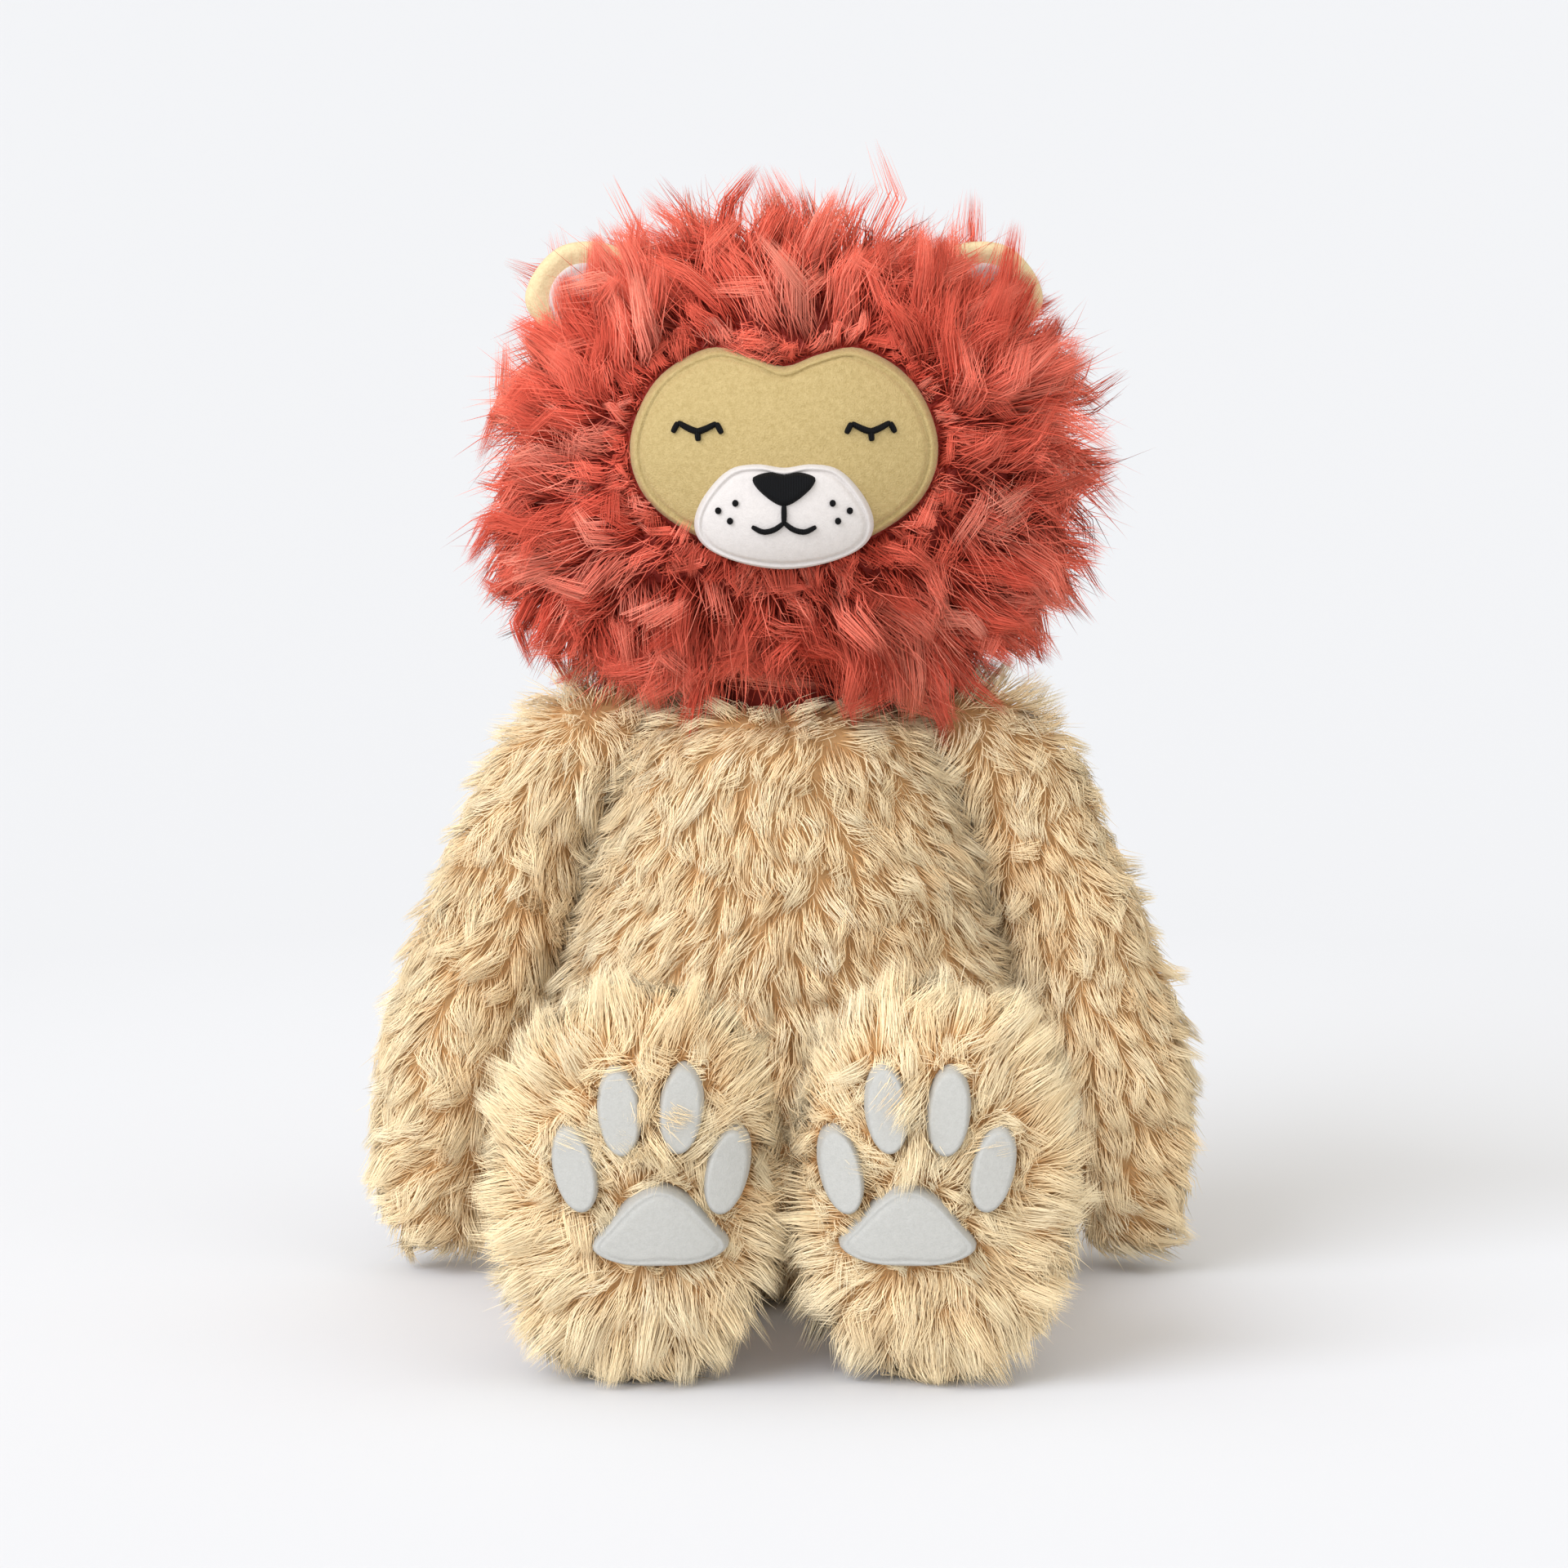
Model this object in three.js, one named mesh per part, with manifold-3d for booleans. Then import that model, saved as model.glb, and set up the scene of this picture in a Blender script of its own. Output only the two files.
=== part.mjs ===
// A seated plush lion: fur-fabric covers over stuffing, with a turning head and swinging limbs.
// Millimetres, +Z up, the lion faces -Y. The origin is on the flat seat, under the torso.
// Fur covers are modelled to the outside of their dense pile, so a cover is as thick as its pile.

import * as THREE from 'three';
import { mergeVertices } from 'three/addons/utils/BufferGeometryUtils.js';
import Module from 'manifold-3d';

const wasm = await Module();
wasm.setup();

// Clearances
const sewnGap = 0.3; // between pieces that are sewn or stuffed against each other
const swingGap = 0.4; // between pieces that move on each other
const legSwingGap = 0.7;
const neckSwingGap = 0.6;
const armSideGap = 1.2; // between the torso's side and an arm hanging beside it

// Head
const headCentreZ = 244;
const maneHalfWidth = 92;
const maneHalfDepth = 72;
const maneHalfHeight = 71;
const maneSquareness = 2.15; // 2 is a true ellipsoid
const maneSquarenessBelow = 2.55; // the mane hangs fuller below its middle
const skullHalfWidth = 72;
const skullHalfDepth = 58;
const skullHalfHeight = 51;
const headSeamY = 4;

// Face
const faceThickness = 3.6;
const faceHalfWidth = 43.5;
const faceTopZ = 276;
const faceNotchZ = 269.5;
const faceLobeX = 22;
const faceWidestZ = 247;
const faceBottomZ = 209.5;
const muzzleHalfWidth = 25.3;
const muzzleTopZ = 243;
const muzzleWidestZ = 225;
const muzzleBottomZ = 212.6;
const muzzleThickness = 1.8;
const muzzlePuff = 8; // how far the padded muzzle stands out of the face
const muzzlePuffDepth = 24;
const muzzlePuffReach = 0.72; // the padded form against the outline's whole height and width
const muzzleTilt = 0.26; // follows the face, which falls back towards the chin
const stitchHeight = 1.2;
const strokeWidth = 2;
const eyeX = 24.3;
const eyeZ = 251.8;
const eyeHalfWidth = 5.4;
const eyeSag = 2.4; // how far the closed lid dips between its ends
const lashLength = 3.4;
const noseHalfWidth = 8.2;
const noseTopZ = 240.6;
const noseBottomZ = 231.5;
const mouthHalfWidth = 9;
const mouthTopZ = 227;
const mouthDip = 2.6;
const freckleRadius = 0.9;
const freckleSpots = [[13.6, 232.3], [18.4, 230.1], [15.1, 227.3]]; // x and z of one side

// Ears
const earRootX = 57;
const earRootY = -10;
const earLength = 28;
const earHalfWidth = 16.5;
const earThickness = 7;
const earPocketDepth = 20; // how far past the ear its room to bend in the mane goes
const earLean = 0.45; // outward lean from upright, in radians
const earRootLift = 0.5; // how far the root sits above the stuffed head
const earLiningInset = 6;
const earLiningThickness = 1.6;
const earSwing = 20; // degrees each way

// Neck
const neckZ = 179;
const neckRadius = 24;

// Torso: half widths at heights, from the seat to the neck
const torsoProfile = [
  [46, 0], [62, 8], [70, 26], [72, 48], [68.5, 72], [62.5, 96], [56, 120], [50, 142],
  [45.5, 155], [39, 163], [29, 167.3],
];
const torsoTopZ = 168.5;
const torsoDepthShare = 0.86; // the torso's depth against its width
const torsoCover = 8;
const torsoSeamY = -8;
const seatFlatDepth = 0.5;

// Arms: the pivot is on the side of the torso
const shoulderX = 45.5;
const shoulderZ = 154;
const shoulderRadius = 24;
const armSpine = [[35, 159], [55, 157], [71, 143], [80, 119], [88, 96], [96, 66], [101, 38], [101, 0]];
const armHalfWidths = [19, 21.5, 23.5, 24, 25, 24.5, 21.5, 20, 18];
const armHalfDepths = [19, 21, 22.5, 23.5, 24.5, 24.5, 24, 22.5, 20];
const armCover = 7;

// Legs: the pivot is at the hip
const hipX = 39.5;
const hipY = -35;
const legRadius = 29;
const legSpine = [[hipY + legRadius, legRadius], [-60, legRadius], [-90, 30.5], [-126, 33]];
const legHalfWidths = [28, 28.5, 28, 28, 29];
const legHalfHeights = [29, 29, 29, 29.5, 30];
const legInnerX = 10;
const legCover = 7;
const ankleHoleRadius = 19;
const legUp = 18;
const legDown = 80;

// Feet: the soles face forward
const footX = 40.4;
const footY = -140;
const footHalfWidth = 39.4;
const footHalfDepth = 24;
const footHalfHeight = 55;
const footSquareness = 2.35;
const footCover = 7;
const padHeight = 2.4;
const toePadHalfWidth = 5.7;
const toePadHalfLength = 11.5;
// Each toe pad: from the foot's middle towards the other foot, height, and lean in degrees
const toePads = [[-15.6, 62.5, -12], [-3.6, 78, -5], [12.9, 78.5, 5], [25.2, 61.5, 12]];
const mainPadHalfWidth = 18.5;
const mainPadTopZ = 58.5;
const mainPadWidestZ = 43;
const mainPadBottomZ = 36;
const mainPadX = 7.2; // from the foot's middle, towards the other foot

// Tail
const tailRootZ = 20;
const tailRadius = 5.5;
const tailSides = 10;
const tailRootRadius = 7;
const tailLength = 52;
const tailEndZ = 10;
const tailCurl = 32; // how far the tail's end lies to the side
const tuftLength = 32;
const tuftRadius = 9.5;

// Colours
const fur = { color: 0xe0c492, roughness: 0.95 };
const mane = { color: 0xcb4f3c, roughness: 0.95 };
const velour = { color: 0xdcc48a, roughness: 0.9 };
const whiteVelour = { color: 0xe9e9ec, roughness: 0.9 };
const thread = { color: 0x1b1a1d, roughness: 0.55 };
const filling = { color: 0xf4f2ee, roughness: 1 };

// Rings and sides of the round forms
const headSides = 24;
const headRings = 14;
const torsoSides = 24;
const torsoSteps = 12;
const limbSides = 14;
const limbRings = 12;
const footSides = 18;
const footRings = 10;
const turningSides = 24; // of the round seats that the joints turn in
const curvePoints = 30;
const sliverSize = 0.02;
const far = 400; // well outside the toy, for cutting blocks

const side = { left: -1, right: 1 };

// Turns a closed three.js geometry into a solid that can be joined and cut.
function toSolid(geometry) {
  const bare = geometry.clone();
  bare.deleteAttribute('normal');
  bare.deleteAttribute('uv');
  const merged = mergeVertices(bare, 1e-4);
  return new wasm.Manifold(new wasm.Mesh({
    numProp: 3,
    vertProperties: new Float32Array(merged.attributes.position.array),
    triVerts: new Uint32Array(merged.index.array),
  }));
}

// Turns a solid into a named mesh with its own material. Slivers left by the cuts are merged.
function toMesh(name, solid, look) {
  const result = solid.simplify(sliverSize).getMesh();
  const geometry = new THREE.BufferGeometry();
  geometry.setAttribute('position', new THREE.BufferAttribute(result.vertProperties, 3));
  geometry.setIndex(new THREE.BufferAttribute(result.triVerts, 1));
  geometry.computeVertexNormals();
  const material = new THREE.MeshStandardMaterial({ ...look, metalness: 0 });
  const mesh = new THREE.Mesh(geometry, material);
  mesh.name = name;
  return mesh;
}

// A stuffed ellipsoid with its poles at the front and back, squarer for a power over 2.
function puffed(halfX, halfY, halfZ, powerAbove, sides, rings, powerBelow = powerAbove) {
  const geometry = new THREE.SphereGeometry(1, sides, rings);
  const place = geometry.attributes.position;
  for (let i = 0; i < place.count; i += 1) {
    const x = place.getX(i);
    const y = place.getY(i);
    const z = place.getZ(i);
    const power = THREE.MathUtils.lerp(powerAbove, powerBelow, THREE.MathUtils.smoothstep(-z, 0, 0.7));
    const norm = (Math.abs(x) ** power + Math.abs(y) ** power + Math.abs(z) ** power) ** (1 / power);
    place.setXYZ(i, (x / norm) * halfX, (y / norm) * halfY, (z / norm) * halfZ);
  }
  return geometry;
}

// The value of a smooth curve through evenly spaced values, at a share of its length.
function swell(values, share) {
  const points = values.map((value, i) => new THREE.Vector2(i, value));
  return new THREE.SplineCurve(points).getPoint(share).y;
}

// A stuffed limb: rings along a spine, with blunt round ends. Across is square to the spine's plane.
function stuffedLimb(spine, across, halfAcross, halfInPlane, inset) {
  const geometry = new THREE.SphereGeometry(1, limbSides, limbRings);
  const place = geometry.attributes.position;
  const margin = inset / spine.getLength();
  for (let i = 0; i < place.count; i += 1) {
    const x = place.getX(i);
    const y = place.getY(i);
    const z = place.getZ(i);
    const share = THREE.MathUtils.lerp(margin, 1 - margin, (1 - y) / 2);
    const ring = Math.hypot(x, z);
    const round = ring > 1e-9 ? ring ** 0.55 / ring : 0;
    const tangent = spine.getTangentAt(share);
    const inPlane = new THREE.Vector3().crossVectors(tangent, across);
    const point = spine.getPointAt(share);
    point.addScaledVector(across, (swell(halfAcross, share) - inset) * x * round);
    point.addScaledVector(inPlane, (swell(halfInPlane, share) - inset) * z * round);
    place.setXYZ(i, point.x, point.y, point.z);
  }
  return geometry;
}

// A block between two corners.
function block(low, high) {
  const size = high.map((value, i) => value - low[i]);
  const geometry = new THREE.BoxGeometry(...size);
  return toSolid(geometry.translate(...low.map((value, i) => value + size[i] / 2)));
}

// A shape drawn in X and Z, extruded forward from backY.
function forwardPrism(shape, backY, depth) {
  const geometry = new THREE.ExtrudeGeometry(shape, { depth, bevelEnabled: false, steps: 1 });
  return toSolid(geometry.rotateX(Math.PI / 2).translate(0, backY, 0));
}

// A closed smooth outline through points.
function smoothShape(points, count = curvePoints) {
  const curve = new THREE.CatmullRomCurve3(points.map(([x, z]) => new THREE.Vector3(x, z, 0)), true);
  return new THREE.Shape(curve.getSpacedPoints(count).slice(0, -1).map((p) => new THREE.Vector2(p.x, p.y)));
}

// The points of one half, from the top of the middle line to its bottom, and their mirror image.
function mirrored(half) {
  const inner = half.slice(1, -1).map(([x, z]) => [-x, z]);
  return [...half, ...inner.reverse()];
}

// A stitched stroke: a line of points drawn with a round pen.
function stroke(points, width) {
  const curve = new THREE.SplineCurve(points.map(([x, z]) => new THREE.Vector2(x, z)));
  const steps = Math.max(2, points.length * 2);
  const outline = [];
  for (const way of [1, -1]) {
    for (let i = 0; i <= steps; i += 1) {
      const share = way > 0 ? i / steps : 1 - i / steps;
      const point = curve.getPointAt(share);
      const tangent = curve.getTangentAt(share);
      const reach = (way * width) / 2;
      outline.push(new THREE.Vector2(point.x - tangent.y * reach, point.y + tangent.x * reach));
    }
  }
  return new THREE.Shape(outline.reverse());
}

function discShape(x, z, radius, points) {
  const outline = [];
  for (let i = 0; i < points; i += 1) {
    const angle = (i / points) * 2 * Math.PI;
    outline.push(new THREE.Vector2(x + radius * Math.cos(angle), z + radius * Math.sin(angle)));
  }
  return new THREE.Shape(outline);
}

function sphereSolid(radius, x, y, z, sides = 18, rings = 10) {
  return toSolid(new THREE.SphereGeometry(radius, sides, rings).translate(x, y, z));
}

// Head

function headForm(grow) {
  const form = puffed(
    skullHalfWidth + grow, skullHalfDepth + grow, skullHalfHeight + grow, 2, headSides, headRings,
  );
  return toSolid(form.translate(0, 0, headCentreZ));
}

function maneForm() {
  const form = puffed(
    maneHalfWidth, maneHalfDepth, maneHalfHeight, maneSquareness, headSides, headRings, maneSquarenessBelow,
  );
  return toSolid(form.translate(0, 0, headCentreZ));
}

function faceOutline(grow) {
  const half = [
    [0, faceNotchZ + grow],
    [faceLobeX * 0.45, faceNotchZ + (faceTopZ - faceNotchZ) * 0.7 + grow],
    [faceLobeX, faceTopZ + grow],
    [faceHalfWidth * 0.8 + grow * 0.7, faceTopZ - (faceTopZ - faceWidestZ) * 0.35 + grow * 0.7],
    [faceHalfWidth + grow, faceWidestZ],
    [faceHalfWidth * 0.85 + grow * 0.8, faceWidestZ - (faceWidestZ - faceBottomZ) * 0.48 - grow * 0.6],
    [faceHalfWidth * 0.5 + grow * 0.5, faceBottomZ + 6 - grow * 0.9],
    [0, faceBottomZ - grow],
  ];
  return smoothShape(mirrored(half), curvePoints);
}

function neckBall(grow) {
  return sphereSolid(neckRadius + grow, 0, 0, neckZ, turningSides, turningSides / 2);
}

function neckCup() {
  return neckBall(neckSwingGap);
}

function addHead(group) {
  const opening = forwardPrism(faceOutline(sewnGap), 0, far);
  const cover = maneForm().subtract(headForm(0)).subtract(opening).subtract(neckCup());
  const pockets = earPocket(side.left).add(earPocket(side.right));
  const pile = cover.subtract(pockets);
  const front = pile.intersect(block([-far, -far, 0], [far, headSeamY - sewnGap / 2, far]));
  const back = pile.intersect(block([-far, headSeamY + sewnGap / 2, 0], [far, far, far]));
  group.add(toMesh('head_front_panel', front, mane));
  group.add(toMesh('head_back_panel', back, mane));
  group.add(toMesh('head_stuffing', headForm(-sewnGap).subtract(neckCup()), filling));
}

// A thin layer over the face's surface, from one height above it to another.
function faceLayer(shape, low, high) {
  const bottom = headForm(faceThickness + low);
  const top = headForm(faceThickness + high);
  return top.subtract(bottom).intersect(forwardPrism(shape, -skullHalfDepth / 2, far));
}

// The muzzle's outer surface: velour laid on the face, with the padded form rising out of it.
function muzzleForm(grow) {
  const centreZ = (muzzleTopZ + muzzleBottomZ) / 2;
  const rise = (centreZ - headCentreZ) / (skullHalfHeight + faceThickness);
  const surfaceY = -(skullHalfDepth + faceThickness) * Math.sqrt(1 - rise * rise);
  const halfX = muzzleHalfWidth * 2 * muzzlePuffReach + grow;
  const halfZ = (muzzleTopZ - muzzleBottomZ) * muzzlePuffReach + grow;
  const form = puffed(halfX, muzzlePuffDepth + grow, halfZ, 2, footSides, footRings);
  form.rotateX(muzzleTilt);
  const padding = toSolid(form.translate(0, surfaceY - muzzlePuff + muzzlePuffDepth, centreZ));
  return padding.add(headForm(faceThickness + muzzleThickness + grow));
}

function muzzleOutline() {
  const half = [
    [0, muzzleTopZ - 1],
    [muzzleHalfWidth * 0.3, muzzleTopZ],
    [muzzleHalfWidth * 0.62, muzzleTopZ - 1.8],
    [muzzleHalfWidth * 0.9, muzzleWidestZ + (muzzleTopZ - muzzleWidestZ) * 0.45],
    [muzzleHalfWidth, muzzleWidestZ],
    [muzzleHalfWidth * 0.87, muzzleWidestZ - (muzzleWidestZ - muzzleBottomZ) * 0.5],
    [muzzleHalfWidth * 0.48, muzzleBottomZ + 1.8],
    [0, muzzleBottomZ],
  ];
  return smoothShape(mirrored(half), curvePoints);
}

// Stitching laid over the padded muzzle.
function muzzleLayer(solid) {
  return muzzleForm(sewnGap + stitchHeight).subtract(muzzleForm(sewnGap)).intersect(solid);
}

function addFace(group) {
  const patch = headForm(faceThickness).subtract(headForm(sewnGap));
  const face = patch.intersect(forwardPrism(faceOutline(0), -skullHalfDepth / 4, far));
  group.add(toMesh('face_patch', face, velour));
  const prism = forwardPrism(muzzleOutline(), -skullHalfDepth / 2, far);
  const muzzle = muzzleForm(0).intersect(prism).subtract(headForm(faceThickness + sewnGap));
  group.add(toMesh('muzzle_patch', muzzle, whiteVelour));
}

function noseOutline() {
  const half = [
    [0, noseTopZ - 0.4],
    [noseHalfWidth * 0.45, noseTopZ],
    [noseHalfWidth, noseTopZ - 1.6],
    [noseHalfWidth * 0.62, noseTopZ - (noseTopZ - noseBottomZ) * 0.62],
    [0, noseBottomZ],
  ];
  return smoothShape(mirrored(half), 20);
}

function addNoseAndMouth(group) {
  const back = -skullHalfDepth * 0.75;
  group.add(toMesh('nose', muzzleLayer(forwardPrism(noseOutline(), back, far)), thread));
  const bend = [0, mouthTopZ];
  const lips = [side.left, side.right].map((way) => forwardPrism(stroke([
    bend,
    [way * mouthHalfWidth * 0.3, mouthTopZ - mouthDip * 0.75],
    [way * mouthHalfWidth * 0.65, mouthTopZ - mouthDip],
    [way * mouthHalfWidth, mouthTopZ - mouthDip * 0.45],
  ], strokeWidth), back, far));
  const grooveLine = [[0, noseBottomZ - sewnGap], [0, mouthTopZ - strokeWidth / 2]];
  const groove = forwardPrism(stroke(grooveLine, strokeWidth), back, far);
  group.add(toMesh('mouth', muzzleLayer(groove.add(lips[0]).add(lips[1])), thread));
  freckleSpots.forEach(([x, z], i) => {
    for (const [name, way] of Object.entries(side)) {
      const dot = forwardPrism(discShape(way * x, z, freckleRadius, 8), back, far);
      group.add(toMesh(`${name}_whisker_dot_${i + 1}`, muzzleLayer(dot), thread));
    }
  });
}

function addEyes(group) {
  const lid = [];
  for (let i = 0; i <= 6; i += 1) {
    const across = (i / 6) * 2 - 1;
    lid.push([across * eyeHalfWidth, eyeSag * across * across]);
  }
  const lash = (x, z, leanX) => [[x, z], [x + leanX, z - lashLength]];
  const lines = [
    lid,
    lash(-eyeHalfWidth, eyeSag, -lashLength * 0.45),
    lash(0, 0, 0.3),
    lash(eyeHalfWidth, eyeSag, lashLength * 0.45),
  ];
  for (const [name, way] of Object.entries(side)) {
    const strokes = lines.map((line) => {
      const placed = line.map(([x, z]) => [way * eyeX + x, eyeZ + z]);
      return faceLayer(stroke(placed, strokeWidth), sewnGap, sewnGap + stitchHeight);
    });
    const eye = strokes.reduce((whole, part) => whole.add(part));
    group.add(toMesh(`${name}_eye`, eye, thread));
  }
}

// Ears

// The ear's root: on the stuffed head, where it leans out from upright.
function earFrame(way) {
  const across = (earRootX / skullHalfWidth) ** 2 + (earRootY / skullHalfDepth) ** 2;
  const rootZ = headCentreZ + skullHalfHeight * Math.sqrt(1 - across) + earRootLift;
  const lean = new THREE.Matrix4().makeRotationY(way * earLean);
  return lean.setPosition(way * earRootX, earRootY, rootZ);
}

// The ear's outline in its own frame: the root at the origin and the tip up +Z.
function earShape(inset) {
  const half = earHalfWidth - inset;
  const top = earLength - inset;
  const outline = [
    [0, top], [half * 0.6, top - half * 0.2], [half * 0.97, top * 0.62], [half * 0.93, top * 0.3],
    [half * 0.66, inset + 0.5], [0, inset],
  ];
  return smoothShape(mirrored(outline), 24);
}

// The space that the ear needs in the mane to bend forward and back.
function earPocket(way) {
  const reach = earLength + earPocketDepth;
  const open = THREE.MathUtils.degToRad(earSwing + 4);
  const start = earThickness / 2 + 2;
  const rise = (reach + earRootLift) * Math.tan(open);
  const wedge = new THREE.Shape([
    new THREE.Vector2(-start, -earRootLift - 2), new THREE.Vector2(start, -earRootLift - 2),
    new THREE.Vector2(start + rise, reach), new THREE.Vector2(-start - rise, reach),
  ]);
  const width = 2 * (earHalfWidth + 2);
  const geometry = new THREE.ExtrudeGeometry(wedge, { depth: width, bevelEnabled: false });
  geometry.translate(0, 0, -width / 2).rotateX(Math.PI / 2).rotateZ(Math.PI / 2);
  geometry.applyMatrix4(earFrame(way));
  return toSolid(geometry);
}

// The stuffed head as the ear meets it while it bends, seen from the ear's own frame.
function headAtEar(way) {
  const frame = earFrame(way);
  const head = headForm(sewnGap).transform(frame.clone().invert().elements);
  const bends = [-earSwing, -earSwing / 2, 0, earSwing / 2, earSwing];
  return bends.map((angle) => head.rotate([angle, 0, 0])).reduce((whole, form) => whole.add(form));
}

function addEars(group) {
  for (const [name, way] of Object.entries(side)) {
    const form = forwardPrism(earShape(0), earThickness / 2, earThickness);
    const ear = form.subtract(headAtEar(way));
    const floorY = -earThickness / 2 + earLiningThickness;
    const hollow = forwardPrism(earShape(earLiningInset - sewnGap), floorY, far);
    const lining = forwardPrism(earShape(earLiningInset), floorY - sewnGap, earLiningThickness);
    const pieces = [
      toMesh(`${name}_ear`, ear.subtract(hollow), velour),
      toMesh(`${name}_ear_lining`, lining, whiteVelour),
    ];
    for (const mesh of pieces) {
      mesh.applyMatrix4(earFrame(way));
      group.add(mesh);
    }
  }
}

// Torso

function torsoCurve() {
  return new THREE.SplineCurve(torsoProfile.map(([radius, z]) => new THREE.Vector2(radius, z)));
}

// The torso's half width at a height.
function torsoHalfWidth(z) {
  const points = torsoCurve().getPoints(120);
  const above = points.findIndex((point) => point.y >= z);
  if (above <= 0) {
    return above === 0 ? points[0].x : 0;
  }
  const low = points[above - 1];
  const high = points[above];
  return low.x + ((high.x - low.x) * (z - low.y)) / (high.y - low.y);
}

// The torso as a turned form, flattened front to back. An inset gives the stuffing inside the cover.
function torsoForm(inset) {
  const low = inset - (inset > 0 ? 0 : seatFlatDepth);
  const high = torsoTopZ - inset;
  const curve = torsoCurve().getSpacedPoints(torsoSteps);
  const squeezed = curve.map((point) => {
    const z = low + ((high - low) * (point.y - torsoProfile[0][1])) / torsoTopZ;
    return new THREE.Vector2(Math.max(point.x - inset, 1), z);
  });
  const points = [new THREE.Vector2(0, low), ...squeezed, new THREE.Vector2(0, high)];
  const geometry = new THREE.LatheGeometry(points, torsoSides);
  geometry.rotateX(Math.PI / 2);
  geometry.scale(1, torsoDepthShare, 1);
  const solid = toSolid(geometry);
  return solid.intersect(block([-far, -far, Math.max(inset, 0)], [far, far, far]));
}

// The space beside and below the torso's front that a leg needs to swing up and down.
function legSpace(way) {
  const radius = legRadius + legSwingGap;
  const up = THREE.MathUtils.degToRad(legUp);
  const down = THREE.MathUtils.degToRad(legDown);
  const top = new THREE.Vector2(Math.sin(up), Math.cos(up)).multiplyScalar(radius);
  const back = new THREE.Vector2(Math.sin(down), -Math.cos(down)).multiplyScalar(radius);
  const outline = new THREE.Shape();
  outline.moveTo(back.x, back.y);
  outline.absarc(0, 0, radius, back.angle() - 2 * Math.PI, top.angle(), false);
  outline.lineTo(top.x - far * Math.cos(up), top.y + far * Math.sin(up));
  outline.lineTo(-far, -far);
  outline.lineTo(back.x - far * Math.cos(down), back.y - far * Math.sin(down));
  outline.closePath();
  const settings = { depth: far, bevelEnabled: false, curveSegments: turningSides / 2 };
  const geometry = new THREE.ExtrudeGeometry(outline, settings);
  geometry.applyMatrix4(new THREE.Matrix4().makeBasis(
    new THREE.Vector3(0, 1, 0), new THREE.Vector3(0, 0, 1), new THREE.Vector3(1, 0, 0),
  ));
  const inner = legInnerX - sewnGap;
  const start = way > 0 ? inner : -inner - far;
  return toSolid(geometry.translate(start, hipY, legRadius));
}

// The round seat that an arm's root turns in.
function shoulderSpace(way) {
  const radius = shoulderRadius + swingGap;
  const geometry = new THREE.CylinderGeometry(radius, radius, far, turningSides);
  geometry.rotateZ(Math.PI / 2).translate(way * (shoulderX + far / 2), 0, shoulderZ);
  return toSolid(geometry);
}

function tailRootY() {
  return torsoHalfWidth(tailRootZ) * torsoDepthShare + tailRootRadius * 0.25;
}

function addTorso(group) {
  const spaces = [
    legSpace(side.left), legSpace(side.right), shoulderSpace(side.left), shoulderSpace(side.right),
    neckCup(), sphereSolid(tailRootRadius + swingGap, 0, tailRootY(), tailRootZ, 16, 10),
  ];
  const outer = spaces.reduce((form, space) => form.subtract(space), torsoForm(0));
  const inner = torsoForm(torsoCover);
  const cover = outer.subtract(inner);
  const front = cover.intersect(block([-far, -far, -far], [far, torsoSeamY - sewnGap / 2, far]));
  const back = cover.intersect(block([-far, torsoSeamY + sewnGap / 2, -far], [far, far, far]));
  group.add(toMesh('torso_front_panel', front, fur));
  group.add(toMesh('torso_back_panel', back, fur));
  const stuffing = spaces.reduce((form, space) => form.subtract(space), torsoForm(torsoCover + sewnGap));
  group.add(toMesh('torso_stuffing', stuffing, filling));
  group.add(toMesh('neck_stuffing', neckBall(0), filling));
}

// Arms

// A turned form about the arm's pivot that keeps the arm clear of the torso's side as it swings.
function torsoSideSweep() {
  const reach = shoulderZ;
  const points = [new THREE.Vector2(0, shoulderX + sewnGap)];
  points.push(new THREE.Vector2(shoulderRadius, shoulderX + sewnGap));
  let widest = shoulderX + sewnGap;
  const steps = 10;
  for (let i = 0; i <= steps; i += 1) {
    const radius = shoulderRadius + ((reach - shoulderRadius) * i) / steps;
    const height = shoulderZ - radius - swingGap;
    widest = Math.max(widest, torsoHalfWidth(Math.max(height, 0)) + armSideGap);
    points.push(new THREE.Vector2(radius, widest));
  }
  const edge = reach * 1.5;
  points.push(new THREE.Vector2(edge, widest), new THREE.Vector2(edge, 0), new THREE.Vector2(0, 0));
  return points;
}

function armSideCut(way) {
  const geometry = new THREE.LatheGeometry(torsoSideSweep().reverse(), turningSides);
  geometry.rotateZ(-Math.PI / 2);
  const solid = toSolid(geometry.translate(0, 0, shoulderZ));
  return way > 0 ? solid : solid.mirror([1, 0, 0]);
}

function armForm(way, inset) {
  const spine = new THREE.CatmullRomCurve3(armSpine.map(([x, z]) => new THREE.Vector3(x, 0, z)));
  const geometry = stuffedLimb(spine, new THREE.Vector3(0, 1, 0), armHalfDepths, armHalfWidths, inset);
  const solid = toSolid(geometry);
  const placed = way > 0 ? solid : solid.mirror([1, 0, 0]);
  return placed.intersect(block([-far, -far, seatFlatDepth], [far, far, far]));
}

function addArms(group) {
  for (const [name, way] of Object.entries(side)) {
    const cut = armSideCut(way);
    const cover = armForm(way, 0).subtract(armForm(way, armCover)).subtract(cut);
    group.add(toMesh(`${name}_arm_cover`, cover, fur));
    group.add(toMesh(`${name}_arm_stuffing`, armForm(way, armCover + sewnGap).subtract(cut), filling));
  }
}

// Legs and feet

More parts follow.
